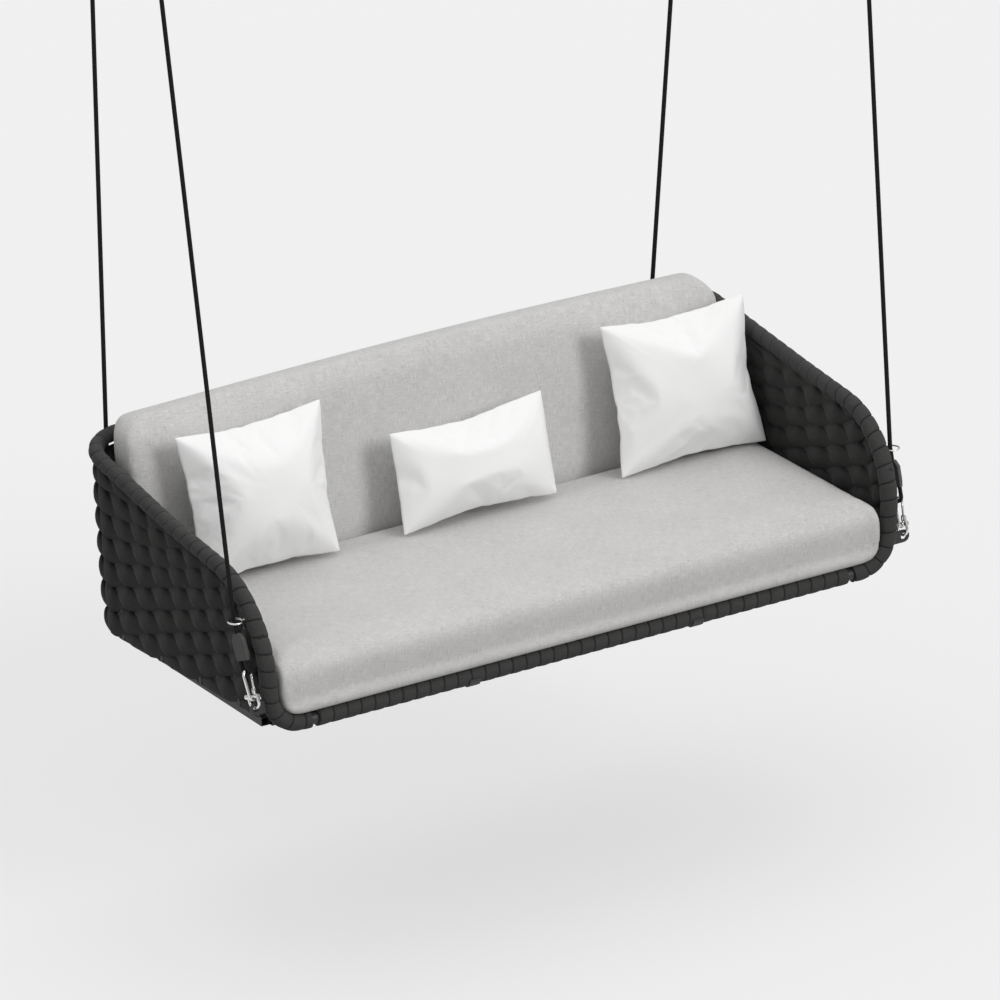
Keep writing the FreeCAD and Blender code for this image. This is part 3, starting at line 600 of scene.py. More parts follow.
STITCHES = stitch_rule()


def edge_mesh(name, lines, closed=False):
    """A mesh of edges only, one chain for each line of points."""
    points = [tuple(p) for line in lines for p in line]
    edges = []
    first = 0
    for line in lines:
        edges += [(first + i, first + i + 1) for i in range(len(line) - 1)]
        if closed:
            edges.append((first + len(line) - 1, first))
        first += len(line)
    return mesh_of(name, points, edges)


def shackle(bow_point, up):
    """Rings of the bow with its eyes and of the screw pin, and the pin's middle."""
    place, a, _ = flat_frame(bow_point, up, up.cross(PIN_AXIS))
    top = SHACKLE_R + SHACKLE_LEG
    bow = [u_bend(place, SHACKLE_R, top, SHACKLE_R - 0.2, SHACKLE_WIRE_R)]
    for side in (-1, 1):
        start = place(side * SHACKLE_R - SHACKLE_WIRE_R, top)
        bow.append(turned(start, a, [(0, 4.2), (0, 6.0), (0.6, 6.6), (7.4, 6.6), (8, 6.0), (8, 4.2)]))
    far = SHACKLE_R + SHACKLE_WIRE_R
    head = [(0.3, 4.0), (0.6, 4.0), (0.6, 5.0), (1.4, 6.2), (3.2, 6.8), (5.2, 6.2), (6.3, 4.4), (6.8, 2.0)]
    pin = turned(place(-far - CLEARANCE, top), a, [(0, 3.4), (0.6, 4.0)] + [(2 * far + d, r) for d, r in head])
    return bow, [pin], place(0, top)


def snap_hook(pin_point, up):
    """Rings of the hook's body with its cheek plates, of the gate and its pin, and where the rope loop rests."""
    place, _, n = flat_frame(pin_point, up, PIN_AXIS)
    base = HOOK_FOOT + HOOK_WIRE_R + SHACKLE_PIN_R + CLEARANCE

    def spot(x, y, depth=0.0):
        return place(x, y - base, depth)

    points = [
        spot(FOOT_HALF_W, GATE_PIN_AT - 5.5), spot(FOOT_HALF_W, HOOK_FOOT), spot(-FOOT_HALF_W, HOOK_FOOT),
        spot(-HOOK_HALF_W, HOOK_HEAD), spot(HOOK_HALF_W, HOOK_HEAD), spot(HOOK_HALF_W, HOOK_NOSE + 2),
    ]
    body = [bar_rings(rounded_path(points, [10.5, 10.5, 13.0, 13.0]), HOOK_WIRE_R, 14, round_ends=3)]
    hinge = spot(FOOT_HALF_W, GATE_PIN_AT)
    tip = spot(HOOK_HALF_W, HOOK_NOSE - 1.0)
    for side in (-1, 1):
        inner = side * (GATE_R + CLEARANCE)
        outline = [(7, 0), (15, 0), (15.6, 8), (15, 15), (13, 18), (9, 18), (7, 15), (6.4, 8)]
        body.append([[spot(x, y, depth) for x, y in outline] for depth in (inner, inner + side * CHEEK_T)])
    along = (tip - hinge).normalized()
    length = (tip - hinge).length
    gate = turned(hinge - along * GATE_R, along, [
        (0, 1.4), (0.8, 2.6), (2.4, GATE_R), (length - 2, GATE_R), (length + 1, GATE_R), (length + 2.6, 2.4)])
    reach = GATE_R + CLEARANCE + CHEEK_T
    pin = turned(hinge - n * (reach + 0.6), n, [(0, 1.4), (0.3, 2.3), (0.6, 2.3), (0.6, 1.5)] + [
        (2 * reach + d, r) for d, r in ((0.6, 1.5), (0.6, 2.3), (0.9, 2.3), (1.2, 1.4))])
    rest = HOOK_HEAD - HOOK_WIRE_R - 0.8 - ROPE_R
    return body, [gate], [pin], spot(0, rest)


def guide_ring(centre, toward):
    """Rings of the closed guide ring and of its shank, which ends in the frame tube."""
    level = Vector((toward.x - centre.x, toward.y - centre.y, 0)).normalized()
    shank = bar_rings([centre + level * RING_R, Vector(toward)], RING_WIRE_R, 12)
    return bar_rings(round_ring(centre, RIGHT, BACK, RING_R, 48), RING_WIRE_R, 14, closed=True), shank


def rope_end(prefix, tag, rest, up, facing, body, loop_node, sleeve_node):
    """The rope's eye, the leather sleeve over its splice and the stitches just inside the sleeve's edge;
    returns the three pieces and the sleeve's neck."""
    place, _, _ = flat_frame(rest, up, facing)
    top = LOOP_R + LOOP_LEG
    loop = single("%s_loop_%s" % (prefix, tag), [u_bend(place, LOOP_R, top + 6, LOOP_R - 0.2, ROPE_R)],
                  rope_braid, body, loop_node, "rope")
    mouth, neck, half, end = SLEEVE_MOUTH / 2, SLEEVE_NECK / 2, SLEEVE_W / 2, top + SLEEVE_L
    outline = [
        (-mouth, top), (mouth, top), (half, top + SLEEVE_TAPER), (half, end - SLEEVE_TAPER),
        (neck, end), (-neck, end), (-half, end - SLEEVE_TAPER), (-half, top + SLEEVE_TAPER),
    ]
    depths = (-SLEEVE_T / 2, SLEEVE_T / 2)
    shape = Shape()
    shape.loft([[at(place(x, y, depth)) for x, y in outline] for depth in depths])
    sleeve = shape.make("%s_sleeve_%s" % (prefix, tag), 30)
    changed(sleeve, "BEVEL", width=2.4 * MM, segments=3)
    settled(sleeve, sleeve_hide, body, "rope_sleeve", sleeve_node)
    middle = sum(y for x, y in outline) / len(outline)
    lines = [[at(place(x * 0.84, middle + (y - middle) * 0.9, depth)) for x, y in outline] for depth in depths]
    name = "%s_stitches_%s" % (prefix, tag)
    stitches = grown(name, edge_mesh(name, lines, closed=True), STITCHES, Spacing=4.6 * MM, Length=1.5 * MM,
                     Thickness=0.45 * MM, Material=thread_grey)
    settled(stitches, thread_grey, body, "rope_sleeve")
    return [loop, sleeve, stitches], place(0, end)


def taut_cord(rope, points, start, with_pieces):
    (points[-1] - points[0]).length
    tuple(start)
    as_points(points)
    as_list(with_pieces)


def hang(end, side):
    """All that hangs on one rope, from the ceiling to the shackle."""
    turn = MIRROR[side]
    eye, pivot, lug = turn(EYES[end]), turn(PIVOTS[end]), turn(LUGS[end])
    tag = "%s_%s" % (end, side)
    ropes = end + "_ropes"

    up = (pivot - lug).normalized()
    bow, pin, pin_point = shackle(lug, up)
    hook, gate, gate_pin, rest = snap_hook(pin_point, up)
    for name, rings, body, node in (
            ("shackle_", bow, "sofa", "shackle_bows"), ("shackle_pin_", pin, "sofa", "shackle_pins"),
            ("hook_", hook, "sofa", "snap_hooks"), ("gate_", gate, "gate_" + tag, "snap_gate_" + tag),
            ("rivet_", gate_pin, "sofa", "gate_pins")):
        single(name + tag, rings, bright_steel, body, node, "bright_hardware")

    rope_up = (eye - pivot).normalized()
    top_rest = eye + rope_up * (EYE_BAR_R + CLEARANCE + ROPE_R)
    pieces, neck = rope_end("eye", tag, top_rest, -rope_up, RIGHT, ropes, "top_loops_" + end, "top_sleeves_" + end)
    rope, points = straight_rope("braid_" + tag, pivot, neck, ropes, "rope_" + tag)
    taut_cord(rope, points, points[0], pieces)

    tail_up = (pivot - rest).normalized()
    pieces, neck = rope_end("hook", tag, rest, tail_up, up.cross(PIN_AXIS), "sofa", "rope_loops", "rope_sleeves")
    tail, points = straight_rope("tail_" + tag, neck, pivot, "sofa", "rope_tail_" + tag)
    if end == "rear":
        taut_cord(tail, points, points[-1], pieces)

    place, _, _ = flat_frame(eye, UP, -BACK)
    single("ceiling_eye_" + tag, [u_bend(place, EYE_HALF_W, EYE_DROP, 8.0, EYE_BAR_R, 16)],
           ceiling_coat, "ceiling", "ceiling_eyes", "ceiling_metal")


for end in ("front", "rear"):
    for side in ("left", "right"):
        hang(end, side)


# ---- bent tube frame and its wound strip ----
SHELL_HALF_W = 950.0
FLARE = 0.03
TOE_IN = 0.03
BACK_Y, BACK_Z = 918.0, 495.0
CORNER_BEND_R = 120.0
CORNER_Y = BACK_Y - CORNER_BEND_R
STRIP_R = 22.6
SHELL_BOTTOM = -10.0


def panel_x(y, z):
    """Middle plane of the right side panel."""
    return SHELL_HALF_W + FLARE * z - TOE_IN * y


CORNER_X = panel_x(CORNER_Y, BACK_Z) - CORNER_BEND_R


def corner_r(z):
    """Radius of the belts' middle round the back corner."""
    return CORNER_BEND_R - FLARE * (BACK_Z - z) - BELT_IN


ARM_START_X = 826.0
RAIL_HALF = 806.0
BACK_HALF = 800.3
ARM = rounded_path([
    (ARM_START_X, 0, 0), (935, 0, 0), (960, -8, 366), (955, 420, 418),
    (panel_x(BACK_Y, BACK_Z), BACK_Y, BACK_Z), (BACK_HALF, BACK_Y, BACK_Z),
], [95.0, 240.0, 2000.0, CORNER_BEND_R], step=0.05)


SQUARE_SIDE = (-0.48, -0.79, 0.38)    # the strip crosses the tube squarest on this side,
SQUARING = 0.6                        # eased by so many radians of a turn


def wound_rule():
    """A strip wound round a tube: full between its seams, drawn in at them."""
    graph, (path, radius, pitch, groove, notch, belly, step, handed, material) = rule(
        "wound_strip", "Radius", "Pitch", "Groove", "Notch", "Belly", "Step", "Handed")
    curve = graph.geo("MeshToCurve", {0: path})
    curve = graph.geo("ResampleCurve", {"Curve": curve, "Length": step}, mode="LENGTH")
    curve = graph.store(curve, "along", graph.geo("SplineParameter", out="Length"))
    curve = graph.store(curve, "runs", graph.geo("InputTangent"), "FLOAT_VECTOR")
    mesh = graph.swept(curve, 28, radius, "round")
    normal = graph.geo("InputNormal")
    square = graph.vector("CROSS_PRODUCT", graph.attribute("runs", "FLOAT_VECTOR"), SQUARE_SIDE)
    past = graph.vector("DOT_PRODUCT", normal, square, out="Value")
    about = graph.attribute("round") - past * (SQUARING / (2 * math.pi))
    turns = graph.attribute("along") / pitch + about * handed
    share = graph.math("FRACT", turns)
    ratio = graph.math("MINIMUM", share, 1.0 - share) * pitch / notch
    seam_and_shade = graph.math("EXPONENT", ratio * ratio * -1.0)
    # kept for the cloth's painted shade in the seams; the same profile draws the groove in below
    mesh = graph.store(mesh, "seam_and_shade", seam_and_shade)
    full = share * (1.0 - share) * 4.0
    uneven = graph.noise(graph.geo("InputPosition"), 38.0) - 0.5
    lift = (full - 1.0) * belly - seam_and_shade * groove + uneven * 0.0016 + graph.attribute("girth")
    mesh = graph.geo("SetPosition", {"Geometry": mesh, "Offset": graph.scaled(normal, lift)})
    return end_rule(graph, mesh, material)


WOUND = wound_rule()


def wound(name, path, node, handed, pitch):
    """The strip is thinner over the rear of the arms and the back rail."""
    mesh = edge_mesh(name, [[at(p) for p in path]])
    girth = mesh.attributes.new("girth", "FLOAT", "POINT")
    girth.data.foreach_set("value", [-2.6 * MM * min(1.0, max(0.0, (p.y + 20) / 380)) for p in path])
    piece = grown(name, mesh, WOUND, Radius=(STRIP_R + 0.7) * MM, Pitch=pitch * MM, Groove=2.0 * MM, Notch=1.9 * MM,
                  Belly=1.2 * MM, Step=1.7 * MM, Handed=handed, Material=strip_textile)
    return settled(piece, strip_textile, "sofa", "rail_wrap", node)


wound("strip_arm_right", ARM, "arm_wrap_right", -1.0, 43.5)
wound("strip_arm_left", [left_of(p) for p in ARM], "arm_wrap_left", 1.0, 43.5)
wound("strip_front_rail", [Vector((-RAIL_HALF, 0, 0)), Vector((RAIL_HALF, 0, 0))], "front_rail_wrap", 1.0, 41.5)
wound("strip_back_rail", [Vector((-BACK_HALF, BACK_Y, BACK_Z)), Vector((BACK_HALF, BACK_Y, BACK_Z))],
      "back_rail_wrap", 1.0, 43.5)


def nearest_on(path, point):
    """The point of a path of points that is nearest to the given one."""
    spots = []
    for one, other in zip(path, path[1:]):
        run = other - one
        if run.length >= 1e-6:
            spots.append(one + run * min(1.0, max(0.0, (point - one).dot(run) / run.dot(run))))
    return min(spots, key=lambda spot: (spot - point).length)


for side in ("left", "right"):
    turn = MIRROR[side]
    for end in ("front", "rear"):
        reach = nearest_on(ARM, RINGS[end])
        rings = guide_ring(turn(RINGS[end]), turn(reach))
        shape = Shape()
        shape.loft(in_metres(rings[0]), closed=True)
        shape.loft(in_metres(rings[1]))
        settled(shape.make("guide_%s_%s" % (end, side)), bright_steel, "sofa", "bright_hardware", "guide_rings")


# ---- woven belts ----
# height of each row's middle at the back corner, and how much it climbs towards the front;
# the top rows are pressed down by the rim, the bottom four start part of the way along
ROWS = [(23, 0.365), (94, 0.345), (163, 0.32), (231, 0.275), (300, 0.214), (367, 0.11), (428, -0.06)]
SHORT_ROWS = [(-40, 0.363), (-110, 0.38), (-179, 0.38), (-249, 0.38)]
ROW_WIDTHS = [70, 70, 70, 70, 70, 68, 70]
TOP_SQUEEZE = 0.8          # how thin the rim presses the top row along the sides,
SQUEEZE_RUN = 150.0        # and how far round the corner it takes to do so
RIM_TOUCH = 5.0            # a row ends at this distance from the arm's axis; on the way there it thins
RIM_THINNEST, RIM_NEAR, RIM_FADE = 0.38, 6.0, 45.0
BELT_IN = 3.0              # the belts' middle lies this far inside the panels' middle
FIRST_SEEN = 15.0          # a short row starts where this much of it is above the base line
SIDE_STAKES = 8
SIDE_STAKE_FIRST = 750.0
STAKE_TOP_PITCH = 92.0
STAKE_FOOT_PITCH = 103.0
STAKE_HALF_W, STAKE_HALF_T = 6.0, 4.0
STAKE_SHORT_LOW, STAKE_SHORT_TOP = 4.0, 21.0    # they stop so far over the base line and under the arm's axis
BACK_STAKES = 16
BACK_STAKE_HALF = 750.0
BASE_LOW, BASE_CLIMB = -12.0, 0.045    # the edge along which the lowest rows are cut off
ROW_HALF = 35.0
BELT_STEP = 5.5            # length of one mesh ring along a strand


def rim_height(y):
    """Height of the arm's axis at a depth."""
    return min((p for p in ARM if p.x > 900 and p.z > 250), key=lambda p: abs(p.y - y)).z


def row_height(row, y):
    """Height of a row's middle over the side panel at a depth.  A row is (height, climb)."""
    return row[0] + row[1] * (CORNER_Y - y)


def base_line(y):
    """Lower edge of the woven side at a depth."""
    return BASE_LOW + BASE_CLIMB * (CORNER_Y - y)


def row_span(row, y):
    """Middle height of a row over the side panel, and how much of its height the base line leaves."""
    top = row_height(row, y) + ROW_HALF
    bottom = max(top - 2 * ROW_HALF, base_line(y))
    return (top + bottom) / 2, (top - bottom) / (2 * ROW_HALF)


def shell_point(row, s):
    """Point, outward direction and whether on a side, s mm along the right half from the back's middle."""
    z = row[0]
    r = corner_r(z)
    arc = r * math.pi / 2
    if s <= CORNER_X:
        return Vector((s, CORNER_Y + r, z)), Vector((0, 1, 0))
    s -= CORNER_X
    if s <= arc:
        angle = math.pi / 2 - s / r
        out = Vector((math.cos(angle), math.sin(angle), 0))
        return Vector((CORNER_X, CORNER_Y, z)) + out * r, out
    y = CORNER_Y - (s - arc)
    z = row_span(row, y)[0]
    return Vector((panel_x(y, z) - BELT_IN, y, z)), Vector((1, TOE_IN, 0)).normalized()


def stake_stations(row):
    """Where a row meets the stakes, s mm along the right half from the back's middle."""
    r = corner_r(row[0])
    half = [BACK_STAKE_HALF * (2 * i / (BACK_STAKES - 1) - 1) for i in range(BACK_STAKES // 2, BACK_STAKES)]
    for angle in (75, 45, 15):
        half.append(CORNER_X + r * math.radians(90 - angle))
    for i in range(SIDE_STAKES + 2):
        foot_y = SIDE_STAKE_FIRST - STAKE_FOOT_PITCH * i
        top_y = SIDE_STAKE_FIRST - STAKE_TOP_PITCH * i
        y = foot_y
        for _ in range(4):
            share = (row_height(row, y) - SHELL_BOTTOM) / (rim_height(y) - SHELL_BOTTOM)
            y = foot_y + (top_y - foot_y) * share
        half.append(CORNER_X + r * math.pi / 2 + CORNER_Y - y)
    return half


def rim_gap(point):
    return (nearest_on(ARM, point) - point).length


def side_limits(row):
    """Where a row comes in from below, and where it goes in under the rim's strip."""
    arc_end = CORNER_X + corner_r(row[0]) * math.pi / 2
    thinnest = BASE_LOW - ROW_HALF + FIRST_SEEN
    start = CORNER_Y - max(0.0, thinnest - row[0]) / (row[1] - BASE_CLIMB)
    front = min(CORNER_Y, start) - 60
    while front > 0:
        z = row_span(row, front)[0]
        if rim_gap(Vector((panel_x(front, z), front, z))) < RIM_TOUCH:
            break
        front -= 4.0
    return arc_end + CORNER_Y - start, arc_end + CORNER_Y - front


def belt_line(row, begin, end, mirrored, first_phase):
    """Points, outward directions, turns and fullness of one strand, between two distances
    from the back's middle.  The twist runs on from the left front round to the right front."""
    stations = stake_stations(row)
    distances = np.linspace(begin, end, max(8, int((end - begin) / BELT_STEP)))
    half_turns = np.interp(distances, [-stations[0]] + stations, np.arange(len(stations) + 1) - 0.5)
    line = []
    for s, turns in zip(distances, half_turns):
        place, out = shell_point(row, s)
        full = 1.0
        if s > CORNER_X:
            full = min(1.0, max(RIM_THINNEST, (rim_gap(place) - RIM_NEAR) / RIM_FADE)) * row_span(row, place.y)[1]
        if row == ROWS[-1]:
            full *= float(np.interp(s, (CORNER_X, CORNER_X + SQUEEZE_RUN), (1.0, TOP_SQUEEZE)))
        if mirrored:
            place, out, turns = left_of(place), left_of(out), -turns
        line.append((place, out, math.pi * (first_phase + turns), full))
    return line


def whole_line(row, first_phase):
    """One strand from the front of the left side round the back to the front of the right side."""
    end = side_limits(row)[1]
    left, right = [belt_line(row, 0.0, end, mirrored, first_phase) for mirrored in (True, False)]
    return left[:0:-1] + right


def twined_rule():
    """A padded strand that turns about its row's middle, from outside the stakes to inside and back."""
    graph, (path, width, thickness, swing_out, swing_up, pinch, fatten, roll, material) = rule(
        "twined_strand", "Width", "Thickness", "Out", "Rise", "Pinch", "Fatten", "Roll")
    curve = graph.geo("MeshToCurve", {0: path})
    curve = graph.store(curve, "middle", graph.geo("InputPosition"), "FLOAT_VECTOR")
    mesh = graph.swept(curve, 18, 0.001, "around", 2 * math.pi)
    turn, around, full = [graph.attribute(name) for name in ("turn", "around", "full")]
    middle, out, over = [graph.attribute(name, "FLOAT_VECTOR") for name in ("middle", "outward", "upward")]
    squared = turn.sine() * turn.sine()
    width = width * (1.0 - squared * pinch) * full
    thick = thickness * (squared * fatten + 1.0) * graph.math("SQRT", full)
    roll = (turn * 2.0).sine() * roll
    tall = around.sine()
    x = around.cosine() * thick * 0.5
    y = tall * width * 0.5
    outwards = x * roll.cosine() - y * roll.sine() + turn.cosine() * (swing_out * full)
    upwards = x * roll.sine() + y * roll.cosine() + turn.sine() * (swing_up * full)
    offset = graph.vector("ADD", graph.scaled(out, outwards), graph.scaled(over, upwards))
    place = graph.vector("ADD", middle, offset)
    uneven = graph.noise(place, 30.0) - 0.5
    place = graph.vector("ADD", place, graph.scaled(out, uneven * 0.003))
    mesh = graph.geo("SetPosition", {"Geometry": mesh, "Position": place})
    # painted shade along the strand's upper and lower edges, where it meets the rows next to it
    mesh = graph.store(mesh, "seam_and_shade", tall * tall * (tall * tall) * 0.8)
    return end_rule(graph, mesh, material)


TWINED = twined_rule()


def belt(name, lines, node, width=70):
    """All the strands of one CAD node as one piece."""
    knots = [knot for line in lines for knot in line]
    mesh = edge_mesh(name, [[at(place) for place, out, turn, full in line] for line in lines])
    for label, values in (("turn", [k[2] for k in knots]), ("full", [k[3] for k in knots])):
        mesh.attributes.new(label, "FLOAT", "POINT").data.foreach_set("value", values)
    for label, values in (("outward", [k[1] for k in knots]),
                          ("upward", [(UP + k[1] * FLARE).normalized() for k in knots])):
        mesh.attributes.new(label, "FLOAT_VECTOR", "POINT").data.foreach_set(
            "vector", [v for direction in values for v in direction])
    piece = grown(name, mesh, TWINED, Width=width * MM, Thickness=25.0 * MM, Out=7.5 * MM, Rise=12.0 * MM,
                  Pinch=0.18, Fatten=-0.10, Roll=0.15, Material=belt_textile)
    finish_mesh(piece.data, 70)
    return settled(piece, belt_textile, "sofa", "weave", node)


for number, (row, width) in enumerate(zip(ROWS, ROW_WIDTHS), 1):
    belt("twine_row_%d" % number, [whole_line(row, 0.0), whole_line(row, 1.0)], "belt_row_%d" % number, width)
for side in ("left", "right"):
    lines = [belt_line(row, *side_limits(row), side == "left", phase) for row in SHORT_ROWS for phase in (0.0, 1.0)]
    belt("twine_short_" + side, lines, "belt_short_" + side)


def side_stakes(side):
    """Flat stakes of one side, from just under the lowest belts up into the rim's strip."""
    turn = MIRROR[side]
    along = Vector((-TOE_IN, 1, 0)).normalized() * STAKE_HALF_W
    out = Vector((1, TOE_IN, 0)).normalized() * STAKE_HALF_T
    bars = []
    for i in range(SIDE_STAKES):
        foot_y, top_y = SIDE_STAKE_FIRST - STAKE_FOOT_PITCH * i, SIDE_STAKE_FIRST - STAKE_TOP_PITCH * i
        top_z = rim_height(top_y)
        foot = Vector((panel_x(foot_y, SHELL_BOTTOM), foot_y, SHELL_BOTTOM))
        rise = Vector((panel_x(top_y, top_z), top_y, top_z)) - foot
        low = max(0.0, base_line(foot_y) + STAKE_SHORT_LOW - SHELL_BOTTOM) / rise.z
        ends = [foot + rise * share for share in (low, 1.0 - STAKE_SHORT_TOP / rise.z)]
        bars.append([[turn(end + a * along + b * out) for a, b in ((-1, -1), (1, -1), (1, 1), (-1, 1))]
                     for end in ends])
    single("stakes_" + side, bars, stake_coat, "sofa", "stakes_" + side, "stake_paint")


for side in ("left", "right"):
    side_stakes(side)


# ---- cushions and pillows ----
def from_node(name, node, shrink):
    """A closed copy of a CAD soft solid, drawn in a little all round."""
    mesh = frame["nodes"][node].data.copy()
    face_out(mesh, weld=1e-5)
    low_corner, high_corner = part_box(node)
    middle = (low_corner + high_corner) / 2
    size = high_corner - low_corner
    for vertex in mesh.vertices:
        away = vertex.co - middle
        for axis in range(3):
            away[axis] *= 1 - 2 * shrink / size[axis]
        vertex.co = middle + away
    return placed(name, mesh)


def positions(mesh):
    found = np.empty(len(mesh.vertices) * 3)
    mesh.vertices.foreach_get("co", found)
    return found.reshape(-1, 3)


def moved_to(mesh, points):
    mesh.vertices.foreach_set("co", points.ravel())
    mesh.update()


def swollen(piece, pressure, cap, bending, steps=20, tension=15.0, pinned=None):
    """Fill a closed cloth with air for a few steps, and keep what it becomes."""
    before = positions(piece.data)
    modifier = piece.modifiers.new("air", "CLOTH")
    settings = modifier.settings
    if pinned is not None:
        group = piece.vertex_groups.new(name="held")
        for index in np.nonzero(pinned > 0)[0]:
            group.add([int(index)], float(pinned[index]), "REPLACE")
        settings.vertex_group_mass = "held"
    given(settings, quality=5, mass=0.3, use_pressure=True, uniform_pressure_force=pressure,
          tension_stiffness=tension, compression_stiffness=tension, shear_stiffness=tension / 3,
          bending_stiffness=bending)
    settings.effector_weights.gravity = 0.0
    modifier.collision_settings.use_collision = False
    given(modifier.point_cache, frame_start=1, frame_end=steps)
    scene = bpy.context.scene
    for step in range(1, steps + 1):
        scene.frame_set(step)
    made_of(piece)
    scene.frame_set(1)
    after = positions(piece.data)
    if len(after) == len(before):
        move = after - before
        far = np.linalg.norm(move, axis=1, keepdims=True)
        moved_to(piece.data, before + move * np.minimum(1.0, cap / np.maximum(far, 1e-9)))
    piece.vertex_groups.clear()


SEAT_TOP = 182.0
PAD_SHRINK, PAD_VOXEL = 0.004, 0.011    # metres: how far a pad is drawn in, and how fine its mesh is
PAD_HELD, PAD_SWELL = 0.05, 0.010       # height of the held underside, and how far the foam may push


def fitted(piece, low_corner, high_corner):
    """Stretch a piece to fill a box exactly."""
    points = positions(piece.data)
    low_now, high_now = points.min(axis=0), points.max(axis=0)
    low_goal, high_goal = np.array(low_corner), np.array(high_corner)
    moved_to(piece.data, low_goal + (points - low_now) * (high_goal - low_goal) / (high_now - low_now))


def foam_pad(name, node, smooth, low_more, high_more):
    """A cushion's cover, filled out by its foam but held along its underside."""
    piece = from_node(name, node, PAD_SHRINK)
    changed(piece, "REMESH", mode="VOXEL", voxel_size=PAD_VOXEL)
    changed(piece, "SMOOTH", factor=0.5, iterations=smooth)
    low_corner, high_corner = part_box(node)
    points = positions(piece.data)
    pinned = np.clip((low_corner.z + PAD_HELD - points[:, 2]) / PAD_HELD, 0, 1)
    swollen(piece, 4.0, PAD_SWELL, pinned=pinned, bending=2.0)
    changed(piece, "SUBSURF", levels=1)
    fitted(piece, low_corner + Vector(low_more), high_corner + Vector(high_more))
    return piece


def shared(piece, material, slot, node):
    piece.data.shade_smooth()
    return settled(piece, material, "sofa", slot, node)


def seat():
    piece = foam_pad("seat_pad", "seat_cushion", 7, (-0.001, -0.002, 0.0005), (0.001, 0.0005, 0.002))
    shared(piece, seat_linen, "seat_fabric", "seat_cushion")


def backrest():
    """The top droops a little towards its ends, more at the right."""
    piece = foam_pad("back_pad", "back_cushion", 14, (-0.006, 0.0005, 0.0005), (0.014, -0.002, -0.006))
    low_corner, high_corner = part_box("back_cushion")
    points = positions(piece.data)
    along = (points[:, 0] - RAIL_MIDDLE.x) / 0.905
    droop = np.where(along > 0, 0.021, 0.015) * along ** 2
    height = (points[:, 2] - low_corner.z) / (high_corner.z - low_corner.z)
    points[:, 2] -= droop * np.clip(height * 1.6 - 0.6, 0, 1)
    moved_to(piece.data, points)
    shared(piece, back_linen, "back_fabric", "back_cushion")


PILLOW_LEAN = math.radians(19.0)
PILLOW_FOOT_Y = 515.0
PILLOW_GRID = 7.0
PILLOW_HALF = 12.0         # half of its thickness in the middle before it's filled
KEEP_THICK, KEEP_ACROSS = 0.9, 0.26    # shares of the filling's push that are kept
PILLOW_UP = Vector((0, math.sin(PILLOW_LEAN), math.cos(PILLOW_LEAN)))
PILLOW_OUT = Vector((0, -math.cos(PILLOW_LEAN), math.sin(PILLOW_LEAN)))
# corners of each pillow on its leaning plane, (across, up): top left, top right, bottom right, bottom left
PILLOWS = {
    "left": [(-822, 410), (-367, 412), (-400, 2), (-840, 2)],
    "middle": [(-205, 276), (278, 288), (264, 8), (-222, 3)],
    "right": [(472, 411), (928, 404), (908, -2), (448, 0)],
}


def scatter_pillow(side, corners):
    """Two sheets sewn together at their edge, filled until they wrinkle."""
    top_left, top_right, bottom_right, bottom_left = [Vector(c) for c in corners]
    columns = round((top_right - top_left).length / PILLOW_GRID)
    rows = round((top_left - bottom_left).length / PILLOW_GRID)
    points, faces, ids = [], [], {}

    def corner_id(i, j, face):
        key = (i, j, 0 if i in (0, columns) or j in (0, rows) else face)
        if key not in ids:
            ids[key] = len(points)
            u, v = i / columns, j / rows
            spot = bottom_left.lerp(bottom_right, u).lerp(top_left.lerp(top_right, u), v)
            full = (1 - (2 * u - 1) ** 4) * (1 - (2 * v - 1) ** 4)
            points.append(at(Vector((spot.x, PILLOW_FOOT_Y, SEAT_TOP + 0.5))
                             + PILLOW_UP * spot.y + PILLOW_OUT * (face * PILLOW_HALF * full)))
        return ids[key]

    for face in (1, -1):
        for j in range(rows):
            for i in range(columns):
                ring = [corner_id(a, b, face) for a, b in ((i, j), (i + 1, j), (i + 1, j + 1), (i, j + 1))]
                faces.append(ring[::face])
    mesh = mesh_of("scatter_" + side, points, faces=faces)
    finish_mesh(mesh, 180)
    piece = placed("scatter_" + side, mesh)
    flat = positions(mesh)
    out = np.array(PILLOW_OUT)
    swollen(piece, 5.0, 0.14, steps=24, tension=30.0, bending=0.1)
    move = positions(piece.data) - flat
    thicker = np.outer(move @ out, out)
    moved_to(piece.data, flat + thicker * KEEP_THICK + (move - thicker) * KEEP_ACROSS)
    changed(piece, "SUBSURF", levels=1)
    points = positions(piece.data)
    floor = at((0, 0, SEAT_TOP + 1.5)).z
    points[:, 2] = np.where(points[:, 2] < floor, floor + (points[:, 2] - floor) * 0.02, points[:, 2])
    moved_to(piece.data, points)
    shared(piece, white_cotton, "pillow_fabric", "pillow_" + side)


seat()
backrest()
for side, corners in PILLOWS.items():
    scatter_pillow(side, corners)

# ---- finishes of the CAD nodes that stay in view ----
KEPT = {
    "frame_paint": frame_coat, "stake_paint": stake_coat, "webbing": strap_web, "ceiling_metal": ceiling_coat,
}
for part in frame["record"]["subparts"]:
    material = KEPT.get(part["material_slot"])
    if material:
        data = frame["nodes"][part["node"]].data
        for index in range(len(data.materials)):
            data.materials[index] = material


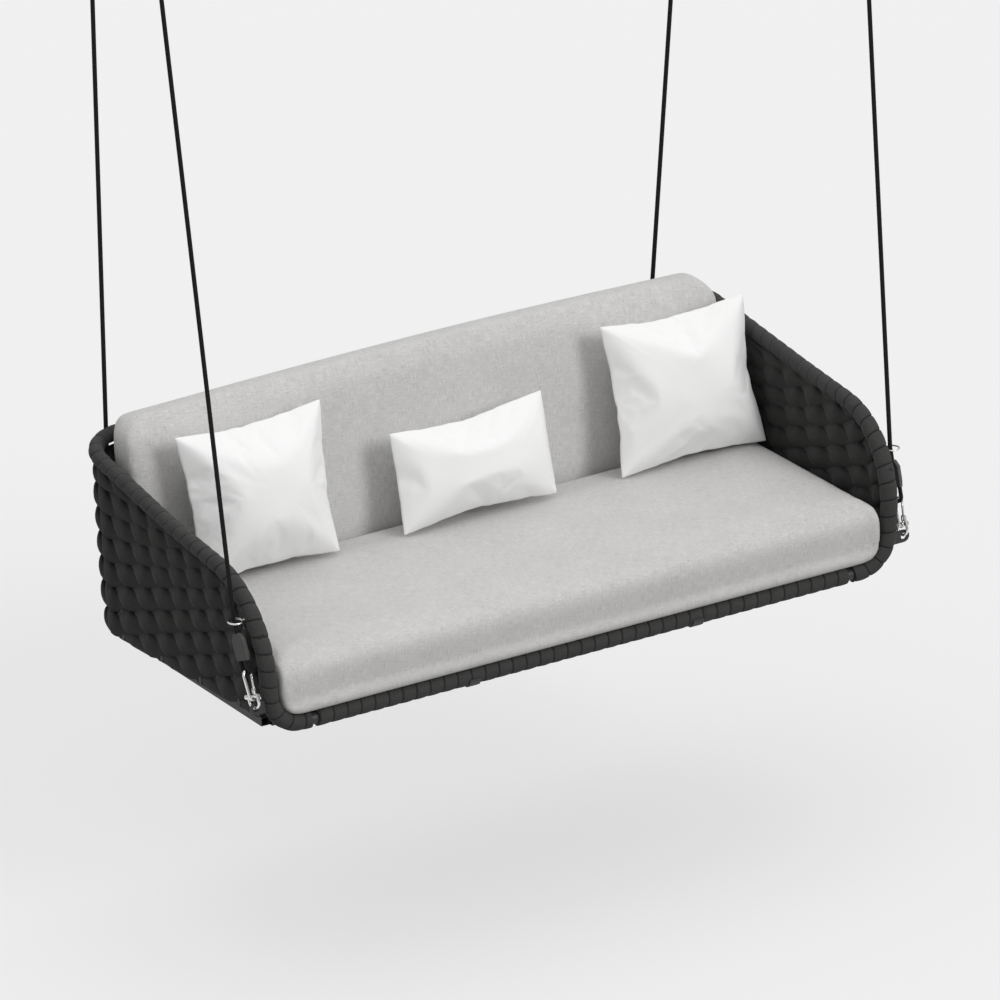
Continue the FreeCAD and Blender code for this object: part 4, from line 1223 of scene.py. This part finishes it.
# ---- floor and light ----
FLOOR_Z = -0.72            # under the front rail's axis
FLOOR_HALF = 60.0
FLOOR_BOUNCE = 0.30        # how much light it gives back to the sofa
FLOOR_SEEN = 0.36          # how much of the shadow is seen on it, and how pale it is besides
FLOOR_PALE = 0.51
WORLD_LOW, WORLD_HIGH = 0.21, 1.05
WORLD_SEEN = 0.87
OVERHEAD = 0.20
FRONT_LAMP = 1.15


def make_floor():
    """A pale floor that gives back less light than a white one would."""
    paint = Paint("pale_floor", (0.8, 0.8, 0.8), 0.9, Specular_IOR_Level=0.0)
    seen = paint.math("MAXIMUM", paint.add("ShaderNodeLightPath", out="Is Camera Ray"),
                      paint.add("ShaderNodeLightPath", out="Is Glossy Ray"))
    grey = paint.spread(seen, 0.0, 1.0, FLOOR_BOUNCE, FLOOR_SEEN)
    paint.give(Base_Color=paint.xyz(grey, grey, grey), Emission_Color=(1, 1, 1, 1), Emission_Strength=seen * FLOOR_PALE)
    z = RAIL_MIDDLE.z + FLOOR_Z
    corners = [(x * FLOOR_HALF, y * FLOOR_HALF, z) for x, y in ((-1, -1), (1, -1), (1, 1), (-1, 1))]
    mesh = mesh_of("floor", corners, faces=[(0, 1, 2, 3)])
    mesh.materials.append(paint.material)
    placed("floor", mesh)


def lamp(name, strength, spread, toward):
    data = given(bpy.data.lights.new(name, "SUN"), energy=strength, angle=math.radians(spread))
    placed(name, data).rotation_euler = Vector(toward).to_track_quat("Z", "Y").to_euler()


def make_light():
    """Even light that grows towards the top, a soft lamp overhead and a lower one in front."""
    world = bpy.data.worlds.new("studio")
    world.use_nodes = True
    graph = Graph(world.node_tree)
    height = graph.split(graph.add("ShaderNodeTexCoord", out="Generated"))[2]
    background = world.node_tree.nodes["Background"]
    background.inputs["Color"].default_value = (1, 1, 1, 1)
    light = graph.spread(height, 0.0, 1.0, WORLD_LOW, WORLD_HIGH)
    camera = graph.add("ShaderNodeLightPath", out="Is Camera Ray")
    graph.join(graph.math("MAXIMUM", light, camera * WORLD_SEEN), background.inputs["Strength"])
    bpy.context.scene.world = world
    lamp("overhead", OVERHEAD, 50, (0.15, 0.30, 0.90))
    lamp("front", FRONT_LAMP, 22, (0.30, -1.00, 0.59))


make_floor()
make_light()
bpy.context.scene.view_settings.view_transform = "Standard"
